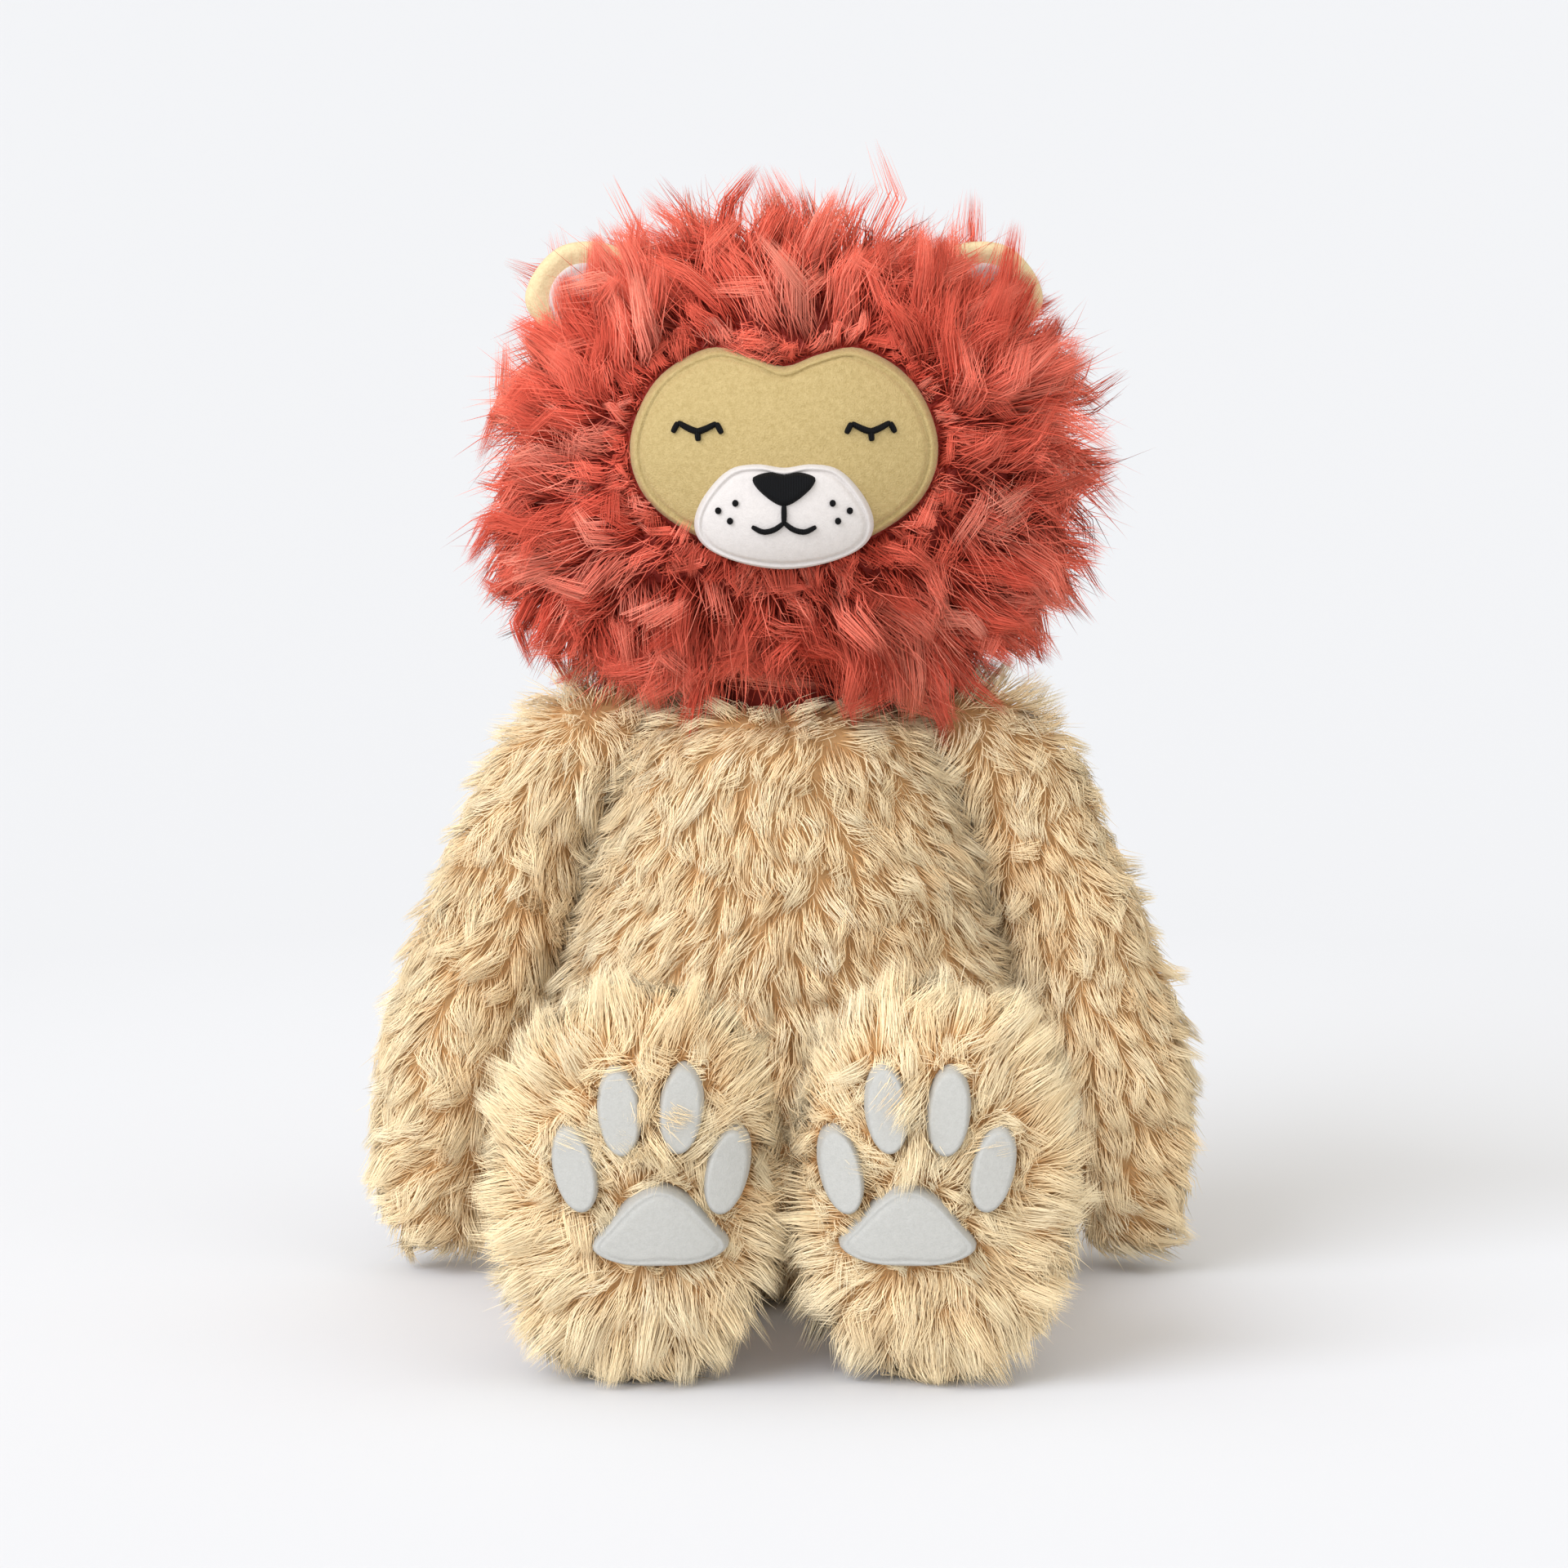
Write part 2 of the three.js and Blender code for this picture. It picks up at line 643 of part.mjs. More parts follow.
function legForm(way, inset) {
  const spine = new THREE.CatmullRomCurve3(legSpine.map(([y, z]) => new THREE.Vector3(way * hipX, y, z)));
  const geometry = stuffedLimb(spine, new THREE.Vector3(1, 0, 0), legHalfWidths, legHalfHeights, inset);
  return toSolid(geometry);
}

function footForm(way, grow) {
  const form = puffed(
    footHalfWidth + grow, footHalfDepth + grow, footHalfHeight + grow, footSquareness, footSides, footRings,
  );
  return toSolid(form.translate(way * footX, footY, footHalfHeight - seatFlatDepth));
}

// A round barrel about the hip, which the leg's root keeps within.
function hipBarrel(way) {
  const geometry = new THREE.CylinderGeometry(legRadius, legRadius, far, turningSides);
  return toSolid(geometry.rotateZ(Math.PI / 2).translate(way * (legInnerX + far / 2), hipY, legRadius));
}

// The way through the ankle, where the stuffing of the leg and of the foot meet.
function ankleHole(way) {
  const length = hipY - footY;
  const geometry = new THREE.CylinderGeometry(ankleHoleRadius, ankleHoleRadius, length, 20);
  return toSolid(geometry.translate(way * hipX, footY + length / 2, legSpine[legSpine.length - 1][1]));
}

// Keeps the part of a leg behind the hip inside the barrel, and all of it above the floor.
function trimmedLeg(way, inset) {
  const form = legForm(way, inset);
  const ahead = block([-far, -far, 0], [far, hipY, far]);
  const behind = hipBarrel(way).intersect(block([-far, hipY - 1, 0], [far, far, far]));
  const inner = way > 0 ? [legInnerX, far] : [-far, -legInnerX];
  const strip = block([inner[0], -far, 0], [inner[1], far, far]);
  return form.intersect(ahead.add(behind)).intersect(strip);
}

function addLegs(group) {
  const floor = block([-far, -far, -far], [far, far, 0]);
  for (const [name, way] of Object.entries(side)) {
    const foot = footForm(way, 0).subtract(floor);
    const ankle = footForm(way, sewnGap);
    const leg = trimmedLeg(way, 0);
    const hole = legForm(way, legCover).add(ankleHole(way));
    group.add(toMesh(`${name}_leg_cover`, leg.subtract(hole).subtract(ankle), fur));
    const legFill = trimmedLeg(way, legCover + sewnGap);
    group.add(toMesh(`${name}_leg_stuffing`, legFill.subtract(ankle), filling));
    const cover = foot.subtract(footForm(way, -footCover)).subtract(ankleHole(way));
    group.add(toMesh(`${name}_foot_cover`, cover, fur));
    group.add(toMesh(`${name}_foot_stuffing`, footForm(way, -footCover - sewnGap), filling));
    addPads(group, name, way);
  }
}

function mainPadOutline(way) {
  const x = way * (footX - mainPadX);
  const half = [
    [0, mainPadTopZ],
    [mainPadHalfWidth * 0.42, mainPadTopZ - 3.5],
    [mainPadHalfWidth * 0.8, mainPadWidestZ + 4],
    [mainPadHalfWidth, mainPadWidestZ - 2],
    [mainPadHalfWidth * 0.62, mainPadBottomZ],
    [0, mainPadBottomZ + 2],
  ];
  return smoothShape(mirrored(half).map(([px, pz]) => [px + x, pz]), 26);
}

function toePadOutline(way, [x, z, lean]) {
  const angle = THREE.MathUtils.degToRad(lean * way);
  const points = [];
  for (let i = 0; i < 16; i += 1) {
    const turn = (i / 16) * 2 * Math.PI;
    const px = -toePadHalfWidth * Math.sin(turn);
    const pz = toePadHalfLength * Math.cos(turn);
    points.push([
      way * (footX - x) + px * Math.cos(angle) - pz * Math.sin(angle),
      z + px * Math.sin(angle) + pz * Math.cos(angle),
    ]);
  }
  return smoothShape(points, 16);
}

function addPads(group, name, way) {
  const layer = footForm(way, padHeight).subtract(footForm(way, sewnGap));
  const back = footY - footHalfDepth / 4;
  const main = layer.intersect(forwardPrism(mainPadOutline(way), back, far));
  group.add(toMesh(`${name}_main_pad`, main, whiteVelour));
  toePads.forEach((toe, i) => {
    const pad = layer.intersect(forwardPrism(toePadOutline(way, toe), back, far));
    group.add(toMesh(`${name}_toe_pad_${i + 1}`, pad, whiteVelour));
  });
}

// Tail

function addTail(group) {
  const rootY = tailRootY();
  const spine = new THREE.CatmullRomCurve3([
    new THREE.Vector3(0, rootY, tailRootZ),
    new THREE.Vector3(0, rootY + tailLength * 0.4, THREE.MathUtils.lerp(tailRootZ, tailEndZ, 0.6)),
    new THREE.Vector3(tailCurl * 0.4, rootY + tailLength * 0.75, tailEndZ),
    new THREE.Vector3(tailCurl, rootY + tailLength, tailEndZ),
  ]);
  const section = discShape(0, 0, tailRadius, tailSides);
  const tube = new THREE.ExtrudeGeometry(section, { extrudePath: spine, steps: 14, bevelEnabled: false });
  const root = sphereSolid(tailRootRadius, 0, rootY, tailRootZ, 16, 10);
  const end = spine.getPointAt(1);
  const along = spine.getTangentAt(1);
  const tuft = new THREE.SphereGeometry(1, 14, 10);
  tuft.scale(tuftRadius, tuftLength / 2, tuftRadius);
  tuft.rotateZ(-Math.atan2(along.x, along.y));
  const start = end.clone().addScaledVector(along, tuftLength / 2 + sewnGap);
  tuft.translate(start.x, start.y, start.z);
  group.add(toMesh('tail', toSolid(tube).add(root), fur));
  group.add(toMesh('tail_tuft', toSolid(tuft), mane));
}

const lion = new THREE.Group();
addHead(lion);
addFace(lion);
addNoseAndMouth(lion);
addEyes(lion);
addEars(lion);
addTorso(lion);
addArms(lion);
addLegs(lion);
addTail(lion);

export default lion;
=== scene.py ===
"""Looks of a seated plush lion: long fur, velour face and paw pads, and embroidery."""

import math
from types import SimpleNamespace

import bmesh
import bpy
import numpy as np
from mathutils import Matrix, Vector, kdtree


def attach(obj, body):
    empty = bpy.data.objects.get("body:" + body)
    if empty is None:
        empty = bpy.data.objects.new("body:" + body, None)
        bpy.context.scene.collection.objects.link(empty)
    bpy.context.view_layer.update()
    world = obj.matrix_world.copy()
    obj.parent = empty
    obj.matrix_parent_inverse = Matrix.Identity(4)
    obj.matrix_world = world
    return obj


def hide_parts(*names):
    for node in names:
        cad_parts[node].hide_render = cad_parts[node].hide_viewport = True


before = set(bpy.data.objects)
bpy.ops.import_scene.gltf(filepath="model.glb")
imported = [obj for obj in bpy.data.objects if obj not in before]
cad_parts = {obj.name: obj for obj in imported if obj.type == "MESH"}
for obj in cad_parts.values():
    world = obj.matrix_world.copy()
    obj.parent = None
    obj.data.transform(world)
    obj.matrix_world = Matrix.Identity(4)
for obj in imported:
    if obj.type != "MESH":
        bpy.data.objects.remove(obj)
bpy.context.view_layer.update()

# Sizes in millimetres: those of the solids, but for the face patch, ears and pads, which are a little
# nearer the photograph
mm = 0.001
head_centre_z = 244
skull_half = (72, 58, 53)
face_thickness = 3.6
face_half_width = 43.5
face_top_z = 274
face_notch_z = 269.5
face_lobe_x = 22
face_widest_z = 247
face_bottom_z = 214
face_middle = (0, 245)
muzzle_half_width = 25.3
muzzle_top_z = 243
muzzle_widest_z = 225
muzzle_bottom_z = 212.6
muzzle_thickness = 1.8
muzzle_puff = 8
muzzle_puff_depth = 24
muzzle_puff_reach = 0.72
muzzle_tilt = 0.26
muzzle_middle = (0, 227)
mouth_stroke_width = 1.6
lid_width = 1.9
lash_width = 1.7
stitch_height = 1.3
eye_x = 24.3
eye_z = 251.8
eye_half_width = 5.4
eye_sag = 2.4
lash_length = 3.4
nose_half_width = 8.2
nose_top_z = 240.6
nose_bottom_z = 231.5
nose_height = 1.7
mouth_half_width = 9
mouth_top_z = 227
mouth_dip = 2.6
freckle_radius = 0.9
freckle_height = 0.8
freckle_spots = [(13.6, 232.3), (18.4, 230.1), (15.1, 227.3)]
ear_root = (53, -10, 277.9)
ear_length = 25.5
ear_half_width = 16.5
ear_thickness = 7
ear_lean = 0.45
ear_lining_inset = 6
neck_z = 179
neck_radius = 24
torso_profile = [
    (46, 0), (62, 8), (70, 26), (72, 48), (68.5, 72), (62.5, 96), (56, 120), (50, 142),
    (45.5, 155), (39, 163), (29, 167.3),
]
torso_top_z = 168.5
torso_depth_share = 0.86
torso_pile = 2
torso_seam_y = -8
head_seam_y = 4
arm_spine = [(35, 159), (55, 157), (71, 143), (80, 119), (88, 96), (96, 66), (101, 38), (101, 0)]
arm_half_widths = [19, 21.5, 23.5, 24, 25, 24.5, 21.5, 20, 18]
arm_half_depths = [19, 21, 22.5, 23.5, 24.5, 24.5, 24, 22.5, 20]
arm_piles = [3, 4, 6.5, 6.5, 6, 5, 3, 2, 2]
arm_inset = 2.5  # how much nearer the body the upper arm is than its collision shape
hip_x = 39.5
hip_y = -35
leg_radius = 29
leg_spine = [(-6, 29), (-60, 29), (-90, 30.5), (-126, 33)]
leg_half_widths = [28, 28.5, 28, 28, 29]
leg_half_heights = [29, 29, 29, 29.5, 30]
leg_inner_x = 10
leg_pile = 6
foot_x = 40.4
foot_y = -140
foot_half = (39.4, 24, 55)
foot_squareness = 2.35
foot_pile = 6
pad_height = 2.4
toe_pad_half_width = 6.1
toe_pad_half_length = 12
toe_pads = [(-15.6, 62.5, -12), (-3.6, 78, -5), (12.9, 78.5, 5), (25.2, 61.5, 12)]
main_pad_half_width = 18.5
main_pad_top_z = 58.5
main_pad_widest_z = 43
main_pad_bottom_z = 36
main_pad_x = 7.2
tail_root_z = 20
tail_root_y = 60.5
tail_radius = 5.5
tail_length = 52
tail_end_z = 10
tail_curl = 32
tuft_length = 32
tuft_radius = 9.5

# Camera: the middle of its view, in the frame of the part
view_centre = Vector((0, 0, 144)) * mm
view_distance = 1800 * mm
view_elevation = math.radians(8)
view_lens = 141.75
view_sensor = 36

# Colours as they look, from 0 to 255
body_dark, body_mid, body_light = (252, 220, 172), (255, 233, 190), (255, 240, 206)
# Painted shade: the body's backing cloth is coloured as dark as the shadow deep in the pile, which shows
# between the strands
body_painted_pile_shade = (186, 146, 100)
mane_dark, mane_mid, mane_light = (192, 68, 52), (246, 116, 93), (255, 166, 142)
# Painted shade: the mane's backing cloth is coloured as dark as the shadow deep in its pile
mane_painted_pile_shade = (134, 46, 38)
face_tan = (180, 158, 107)
ear_cream = (222, 204, 160)
pad_white = (181, 180, 174)
muzzle_white = (209, 203, 198)
thread_black = (6, 6, 7)
backdrop_pale = (243, 245, 247)
# Painted light: the floor's colour near the toy is paler than its far colour, to offset the toy's shade on
# it
floor_painted_light_near, floor_far = (223, 225, 228), (214, 216, 219)
floor_reach = 0.7
cool_light, warm_light = (0.95, 1, 1.12), (1, 0.955, 0.88)

# Strands of fur on each square millimetre, and their lengths
dense = SimpleNamespace(
    mane=0.9, face_rim=2.2, ear_locks=2.6, beard=0.8, mane_back=0.42, torso=0.84, torso_back=0.4, arm=1,
    leg=0.32, foot=1.25, pad_rim=2.4, tail=1.2, tuft=2.6,
)
pile = SimpleNamespace(
    mane=15.0, face_rim=9.0, ear_locks=30.0, torso=14.0, arm=14.5, leg=15.0, foot=18.0, pad_rim=11.0,
    tail=9.0, tuft=18.0,
)
weave_grain, velour_grain = 900, 2200

sides = {"left": -1, "right": 1}
bake_map = "OFBake"
floor_gap = 0.4  # the lowest that fur hangs
jowl_power = 4  # how square the head is below its middle
jowl_share = 0.2  # how much wider its lowest part is
chin_drop = 9  # and how much deeper its lowest part hangs


def linear(colour):
    """A colour as it looks, as the linear values that a shader takes."""
    shares = [c / 255 for c in colour]
    return (*[s / 12.92 if s < 0.04045 else ((s + 0.055) / 1.055) ** 2.4 for s in shares], 1)


# Curves and outlines


def smooth_line(points, count, closed=False):
    """Points evenly spaced along a smooth curve through the given ones."""
    given = np.array(points, float)
    if closed:
        ring = np.vstack([given[-1], given, given[:2]])
    else:
        ring = np.vstack([2 * given[0] - given[1], given, 2 * given[-1] - given[-2]])
    fine = []
    for a, b, c, d in zip(ring, ring[1:], ring[2:], ring[3:]):
        for t in np.arange(0, 1, 1 / 16):
            fine.append(0.5 * (2 * b + (c - a) * t + (2 * a - 5 * b + 4 * c - d) * t**2
                               + (3 * b - a - 3 * c + d) * t**3))
    fine.append(given[0] if closed else given[-1])
    fine = np.array(fine)
    run = np.concatenate([[0], np.cumsum(np.linalg.norm(np.diff(fine, axis=0), axis=1))])
    where = np.linspace(0, run[-1], count + 1 if closed else count)
    line = np.stack([np.interp(where, run, axis) for axis in fine.T], 1)
    return line[:-1] if closed else line


def mirrored(half):
    """The points of one half of an outline, from its top to its bottom, with their mirror image."""
    return [*half, *[(-x, z) for x, z in half[-2:0:-1]]]


def face_outline(grow=0, count=96):
    half = [
        (0, face_notch_z + grow),
        (face_lobe_x * 0.45, face_notch_z + (face_top_z - face_notch_z) * 0.7 + grow),
        (face_lobe_x, face_top_z + grow),
        (face_half_width * 0.84 + grow * 0.7, face_top_z - (face_top_z - face_widest_z) * 0.35 + grow * 0.7),
        (face_half_width + grow, face_widest_z),
        (face_half_width * 0.88 + grow * 0.8,
         face_widest_z - (face_widest_z - face_bottom_z) * 0.48 - grow * 0.6),
        (face_half_width * 0.5 + grow * 0.5, face_bottom_z + 6 - grow * 0.9),
        (0, face_bottom_z - grow),
    ]
    return smooth_line(mirrored(half), count, closed=True)


def muzzle_outline(grow=0, count=96):
    drop = muzzle_widest_z - muzzle_bottom_z
    half = [
        (0, muzzle_top_z - 1),
        (muzzle_half_width * 0.3, muzzle_top_z),
        (muzzle_half_width * 0.62, muzzle_top_z - 1.8),
        (muzzle_half_width * 0.9, muzzle_widest_z + (muzzle_top_z - muzzle_widest_z) * 0.45),
        (muzzle_half_width, muzzle_widest_z),
        (muzzle_half_width * 0.87, muzzle_widest_z - drop * 0.5),
        (muzzle_half_width * 0.48, muzzle_bottom_z + 1.8),
        (0, muzzle_bottom_z),
    ]
    line = smooth_line(mirrored(half), count, closed=True)
    centre = np.array(muzzle_middle)
    return centre + (line - centre) * (1 + grow / muzzle_half_width)


def nose_outline():
    half = [
        (0, nose_top_z - 0.4),
        (nose_half_width * 0.5, nose_top_z + 0.2),
        (nose_half_width * 1.08, nose_top_z - 1.4),
        (nose_half_width * 0.78, nose_top_z - (nose_top_z - nose_bottom_z) * 0.6),
        (0, nose_bottom_z),
    ]
    return smooth_line(mirrored(half), 48, closed=True)


def main_pad_outline(way, grow=0):
    half = [
        (0, main_pad_top_z),
        (main_pad_half_width * 0.42, main_pad_top_z - 3.5),
        (main_pad_half_width * 0.8, main_pad_widest_z + 4),
        (main_pad_half_width, main_pad_widest_z - 2),
        (main_pad_half_width * 0.62, main_pad_bottom_z + 1),
        (0, main_pad_bottom_z),
    ]
    x = way * (foot_x - main_pad_x)
    line = smooth_line([(px + x, pz) for px, pz in mirrored(half)], 72, closed=True)
    centre = line.mean(0)
    return centre + (line - centre) * (1 + grow / main_pad_half_width)


def toe_pad_outline(way, toe, grow=0):
    x, z, lean = toe
    angle = math.radians(lean * way)
    turn = np.linspace(0, 2 * math.pi, 48, endpoint=False)
    px = (toe_pad_half_width + grow) * np.sin(turn)
    pz = (toe_pad_half_length + grow) * np.cos(turn)
    across = way * (foot_x - x) + px * math.cos(angle) - pz * math.sin(angle)
    up = z + px * math.sin(angle) + pz * math.cos(angle)
    return np.stack([across, up], 1)


def ear_outline(inset):
    half = ear_half_width - inset
    top = ear_length - inset
    outline = [
        (0, top), (half * 0.6, top - half * 0.2), (half * 0.97, top * 0.62), (half * 0.93, top * 0.3),
        (half * 0.66, inset + 0.5), (0, inset),
    ]
    return smooth_line(mirrored(outline), 64, closed=True)


def reach_in(outline, x, z):
    """How far out points lie from an outline's middle: 1 is on the outline."""
    centre = outline.mean(0)
    spokes = outline - centre
    angle = np.arctan2(spokes[:, 1], spokes[:, 0])
    order = np.argsort(angle)
    radius = np.hypot(spokes[:, 0], spokes[:, 1])
    wanted = np.arctan2(z - centre[1], x - centre[0])
    here = np.interp(wanted, angle[order], radius[order], period=2 * math.pi)
    return np.hypot(x - centre[0], z - centre[1]) / here


# Surfaces that the flat pieces are laid on: Y at an X and a Z, seen from the front


def head_front(x, z, grow):
    half_x, half_y, half_z = (h + grow for h in skull_half)
    inside = 1 - (x / half_x) ** 2 - ((z - head_centre_z) / half_z) ** 2
    return -half_y * np.sqrt(np.maximum(inside, 0.02))


def muzzle_front(x, z, grow):
    """The padded muzzle, which rises softly out of the face."""
    centre_z = (muzzle_top_z + muzzle_bottom_z) / 2
    flat_y = head_front(0, centre_z, face_thickness)
    half_x = muzzle_half_width * 2 * muzzle_puff_reach + grow
    half_z = (muzzle_top_z - muzzle_bottom_z) * muzzle_puff_reach + grow
    half_y = muzzle_puff_depth + grow
    sine, cosine = math.sin(muzzle_tilt), math.cos(muzzle_tilt)
    dz = z - centre_z
    a = cosine**2 / half_y**2 + sine**2 / half_z**2
    b = 2 * sine * cosine * dz * (1 / half_y**2 - 1 / half_z**2)
    c = (x / half_x) ** 2 + (sine * dz / half_y) ** 2 + (cosine * dz / half_z) ** 2 - 1
    root = np.sqrt(np.maximum(b**2 - 4 * a * c, 0))
    puff = flat_y - muzzle_puff + muzzle_puff_depth - (b + root) / (2 * a)
    flat = head_front(x, z, face_thickness + muzzle_thickness + grow)
    blend = 2.2
    return -blend * np.logaddexp(-puff / blend, -flat / blend)


def foot_front(way, x, z, grow):
    half_x, half_y, half_z = (h + grow for h in foot_half)
    across = np.abs((x - way * foot_x) / half_x) ** foot_squareness
    up = np.abs((z - foot_half[2] + 0.5) / half_z) ** foot_squareness
    return foot_y - half_y * np.maximum(1 - across - up, 0.01) ** (1 / foot_squareness)


# Forms


def sphere(segments, rings):
    bm = bmesh.new()
    bmesh.ops.create_uvsphere(bm, u_segments=segments, v_segments=rings, radius=1)
    return bm


def stuffed_ball(centre, half, power, segments=64, rings=40):
    """A stuffed ellipsoid, squarer for a power over 2."""
    bm = sphere(segments, rings)
    for v in bm.verts:
        norm = sum(abs(c) ** power for c in v.co) ** (1 / power)
        v.co = Vector(centre[i] + v.co[i] / norm * half[i] for i in range(3))
    return bm


def stuffed_limb(line, across, half_across, half_deep, blunt=0.55, segments=40, rings=56):
    """A limb round a line of points. Across holds the sideways way at each point, or one for all."""
    bm = sphere(segments, rings)
    line = np.array(line, float)
    ways = np.gradient(line, axis=0)
    ways /= np.linalg.norm(ways, axis=1)[:, None]
    across = np.broadcast_to(np.array(across, float), line.shape)
    deep = np.cross(ways, across)
    steps = np.linspace(0, 1, len(line))
    wide = np.interp(steps, np.linspace(0, 1, len(half_across)), half_across)
    thick = np.interp(steps, np.linspace(0, 1, len(half_deep)), half_deep)
    for v in bm.verts:
        share = (1 - v.co.z) / 2
        ring = math.hypot(v.co.x, v.co.y)
        fuller = ring**blunt / ring if ring > 1e-6 else 0
        at = [np.interp(share, steps, column) for column in line.T]
        side = [np.interp(share, steps, column) for column in across.T]
        up = [np.interp(share, steps, column) for column in deep.T]
        w = np.interp(share, steps, wide) * v.co.x * fuller
        t = np.interp(share, steps, thick) * v.co.y * fuller
        v.co = Vector(at[i] + side[i] * w + up[i] * t for i in range(3))
    bmesh.ops.recalc_face_normals(bm, faces=bm.faces)
    if bm.calc_volume(signed=True) < 0:
        bmesh.ops.reverse_faces(bm, faces=bm.faces)
    return bm


def flat_pad(outline, back, front, edge=2.5, groove=0, groove_depth=0.5, rings=26, closeness=3):
    """A sewn pad: flat behind, crowned in front, with rolled edges and a stitched groove inside its edge."""
    count = len(outline)
    bm = sphere(count, 2 * rings)
    centre = outline.mean(0)
    spokes = outline - centre
    for v in bm.verts:
        angle = math.atan2(v.co.y, v.co.x) / (2 * math.pi) * count
        low = int(math.floor(angle + 1e-6)) % count
        spoke = spokes[low]
        polar = math.acos(max(-1, min(1, abs(v.co.z)))) / (math.pi / 2)
        share = 1 - (1 - polar) ** closeness if v.co.z > 0 else polar
        inner = (1 - share) * math.hypot(*spoke)
        x, z = centre + spoke * share
        if v.co.z > 1e-6:
            rise = min(inner / edge, 1)
            rise = math.sqrt(max(1 - (1 - rise) ** 2, 0))
            y = back(x, z) + (front(x, z) - back(x, z)) * rise
            if groove:
                y += groove_depth * math.exp(-(((inner - groove) / 0.6) ** 2))
        else:
            y = back(x, z)
        v.co = Vector((x, y, z))
    bmesh.ops.remove_doubles(bm, verts=bm.verts, dist=0.001)
    bmesh.ops.recalc_face_normals(bm, faces=bm.faces)
    return bm


def torso_shape():
    """A turned form, flattened front to back, flat under the seat."""
    line = smooth_line(torso_profile, 40)
    inner = [(x - torso_pile * min(1, (torso_top_z - z) / 25), z + 0.5) for x, z in line]
    top = (0.001, torso_top_z + 0.5)
    bm = bmesh.new()
    verts = [bm.verts.new((x, 0, z)) for x, z in [(0.001, 0.5), (20, 0.5), *inner, top]]
    edges = [bm.edges.new(pair) for pair in zip(verts, verts[1:])]
    bmesh.ops.spin(
        bm, geom=verts + edges, axis=(0, 0, 1), cent=(0, 0, 0), steps=72, angle=2 * math.pi, use_merge=True,
    )
    bmesh.ops.remove_doubles(bm, verts=bm.verts, dist=0.01)
    bmesh.ops.scale(bm, vec=(1, torso_depth_share, 1), verts=bm.verts)
    bmesh.ops.recalc_face_normals(bm, faces=bm.faces)
    return bm


def arm_shape(way):
    line = smooth_line([(way * (x - arm_inset * soft_step(z, 60, 100)), 0, z) for x, z in arm_spine], 120)
    wide = [w - fur for w, fur in zip(arm_half_widths, arm_piles)]
    deep = [d - fur for d, fur in zip(arm_half_depths, arm_piles)]
    return stuffed_limb(line[:-6], (0, 1, 0), deep, wide, blunt=0.33)


def leg_shape(way):
    line = smooth_line([(way * hip_x, y, z) for y, z in leg_spine], 100)
    wide = [w - leg_pile for w in leg_half_widths]
    high = [h - leg_pile for h in leg_half_heights]
    return stuffed_limb(line[6:], (1, 0, 0), wide, high)


def foot_shape(way):
    half = [h - foot_pile for h in foot_half]
    return stuffed_ball((way * foot_x, foot_y, foot_half[2]), half, foot_squareness)


def tail_line():
    points = [
        (0, tail_root_y, tail_root_z),
        (0, tail_root_y + tail_length * 0.4, tail_root_z + (tail_end_z - tail_root_z) * 0.6),
        (tail_curl * 0.4, tail_root_y + tail_length * 0.75, tail_end_z),
        (tail_curl, tail_root_y + tail_length, tail_end_z),
    ]
    return smooth_line(points, 60)


# Making objects


def put_in_scene(thing):
    bpy.context.scene.collection.objects.link(thing)


def wear(piece, material, body, replaced):
    """Gives a piece its material, the body that it rides on and the solids that it stands for."""
    piece.data.materials.append(material)
    put_in_scene(piece)
    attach(piece, body)
    if replaced:
        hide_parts(*replaced)


def add_form(name, bm, material, body, replaced=()):
    """Makes a piece of a form in millimetres."""
    bmesh.ops.scale(bm, vec=(mm, mm, mm), verts=bm.verts)
    mesh = bpy.data.meshes.new(name)
    bm.to_mesh(mesh)
    bm.free()
    mesh.shade_smooth()
    piece = bpy.data.objects.new(name, mesh)
    wear(piece, material, body, replaced)


def surface_of(bm):
    """The corners of a form's triangles and the normals at them, in an order that every run repeats."""
    bm.normal_update()
    bm.verts.index_update()
    bm.verts.ensure_lookup_table()
    triangles = []
    for face in bm.faces:
        numbers = [v.index for v in face.verts]
        lowest = numbers.index(min(numbers))
        first, *others = numbers[lowest:] + numbers[:lowest]
        triangles += [(first, *two) for two in zip(others, others[1:])]
    triangles = np.array(sorted(triangles))
    places = np.array([v.co[:] for v in bm.verts])
    normals = np.round([v.normal[:] for v in bm.verts], 5)
    return places[triangles], normals[triangles]


# Fur


def unit(v):
    return v / np.maximum(np.linalg.norm(v, axis=-1, keepdims=True), 1e-9)


def along(way, normals):
    """The part of a way that lies along the surface."""
    return unit(way - (way * normals).sum(-1, keepdims=True) * normals)


def soft_step(value, low, high):
    share = np.clip((value - low) / (high - low), 0, 1)
    return share * share * (3 - 2 * share)


def swirl(roots, size):
    """A way that turns smoothly from place to place, as in fur that hands have ruffled."""
    steps = roots * (2 * math.pi / size)
    x, y, z = steps.T
    return np.stack([
        np.sin(1.1 * z + 0.7 * y + 1.3) + np.sin(2.3 * x - 1.7 * z + 0.4),
        np.sin(0.9 * x - 1.2 * z + 2.1) + np.sin(1.9 * y + 2.1 * x + 4),
        np.sin(1.3 * y + 0.8 * x + 0.2) + np.sin(2.6 * z + 1.4 * x + 5.2),
    ], 1) / 2


def scattered(surface, per_mm2, rng):
    """Points spread over a surface, with its normals there."""
    corners, normals = surface
    first, second, third = corners.transpose(1, 0, 2)
    area = 0.5 * np.linalg.norm(np.cross(second - first, third - first), axis=1)
    count = int(area.sum() * per_mm2)
    face = rng.choice(len(area), count, p=area / area.sum())
    a, b = rng.random(count), rng.random(count)
    over = a + b > 1
    a[over], b[over] = 1 - a[over], 1 - b[over]
    shares = np.stack([1 - a - b, a, b], 1)[:, :, None]
    return (corners[face] * shares).sum(1), unit((normals[face] * shares).sum(1))


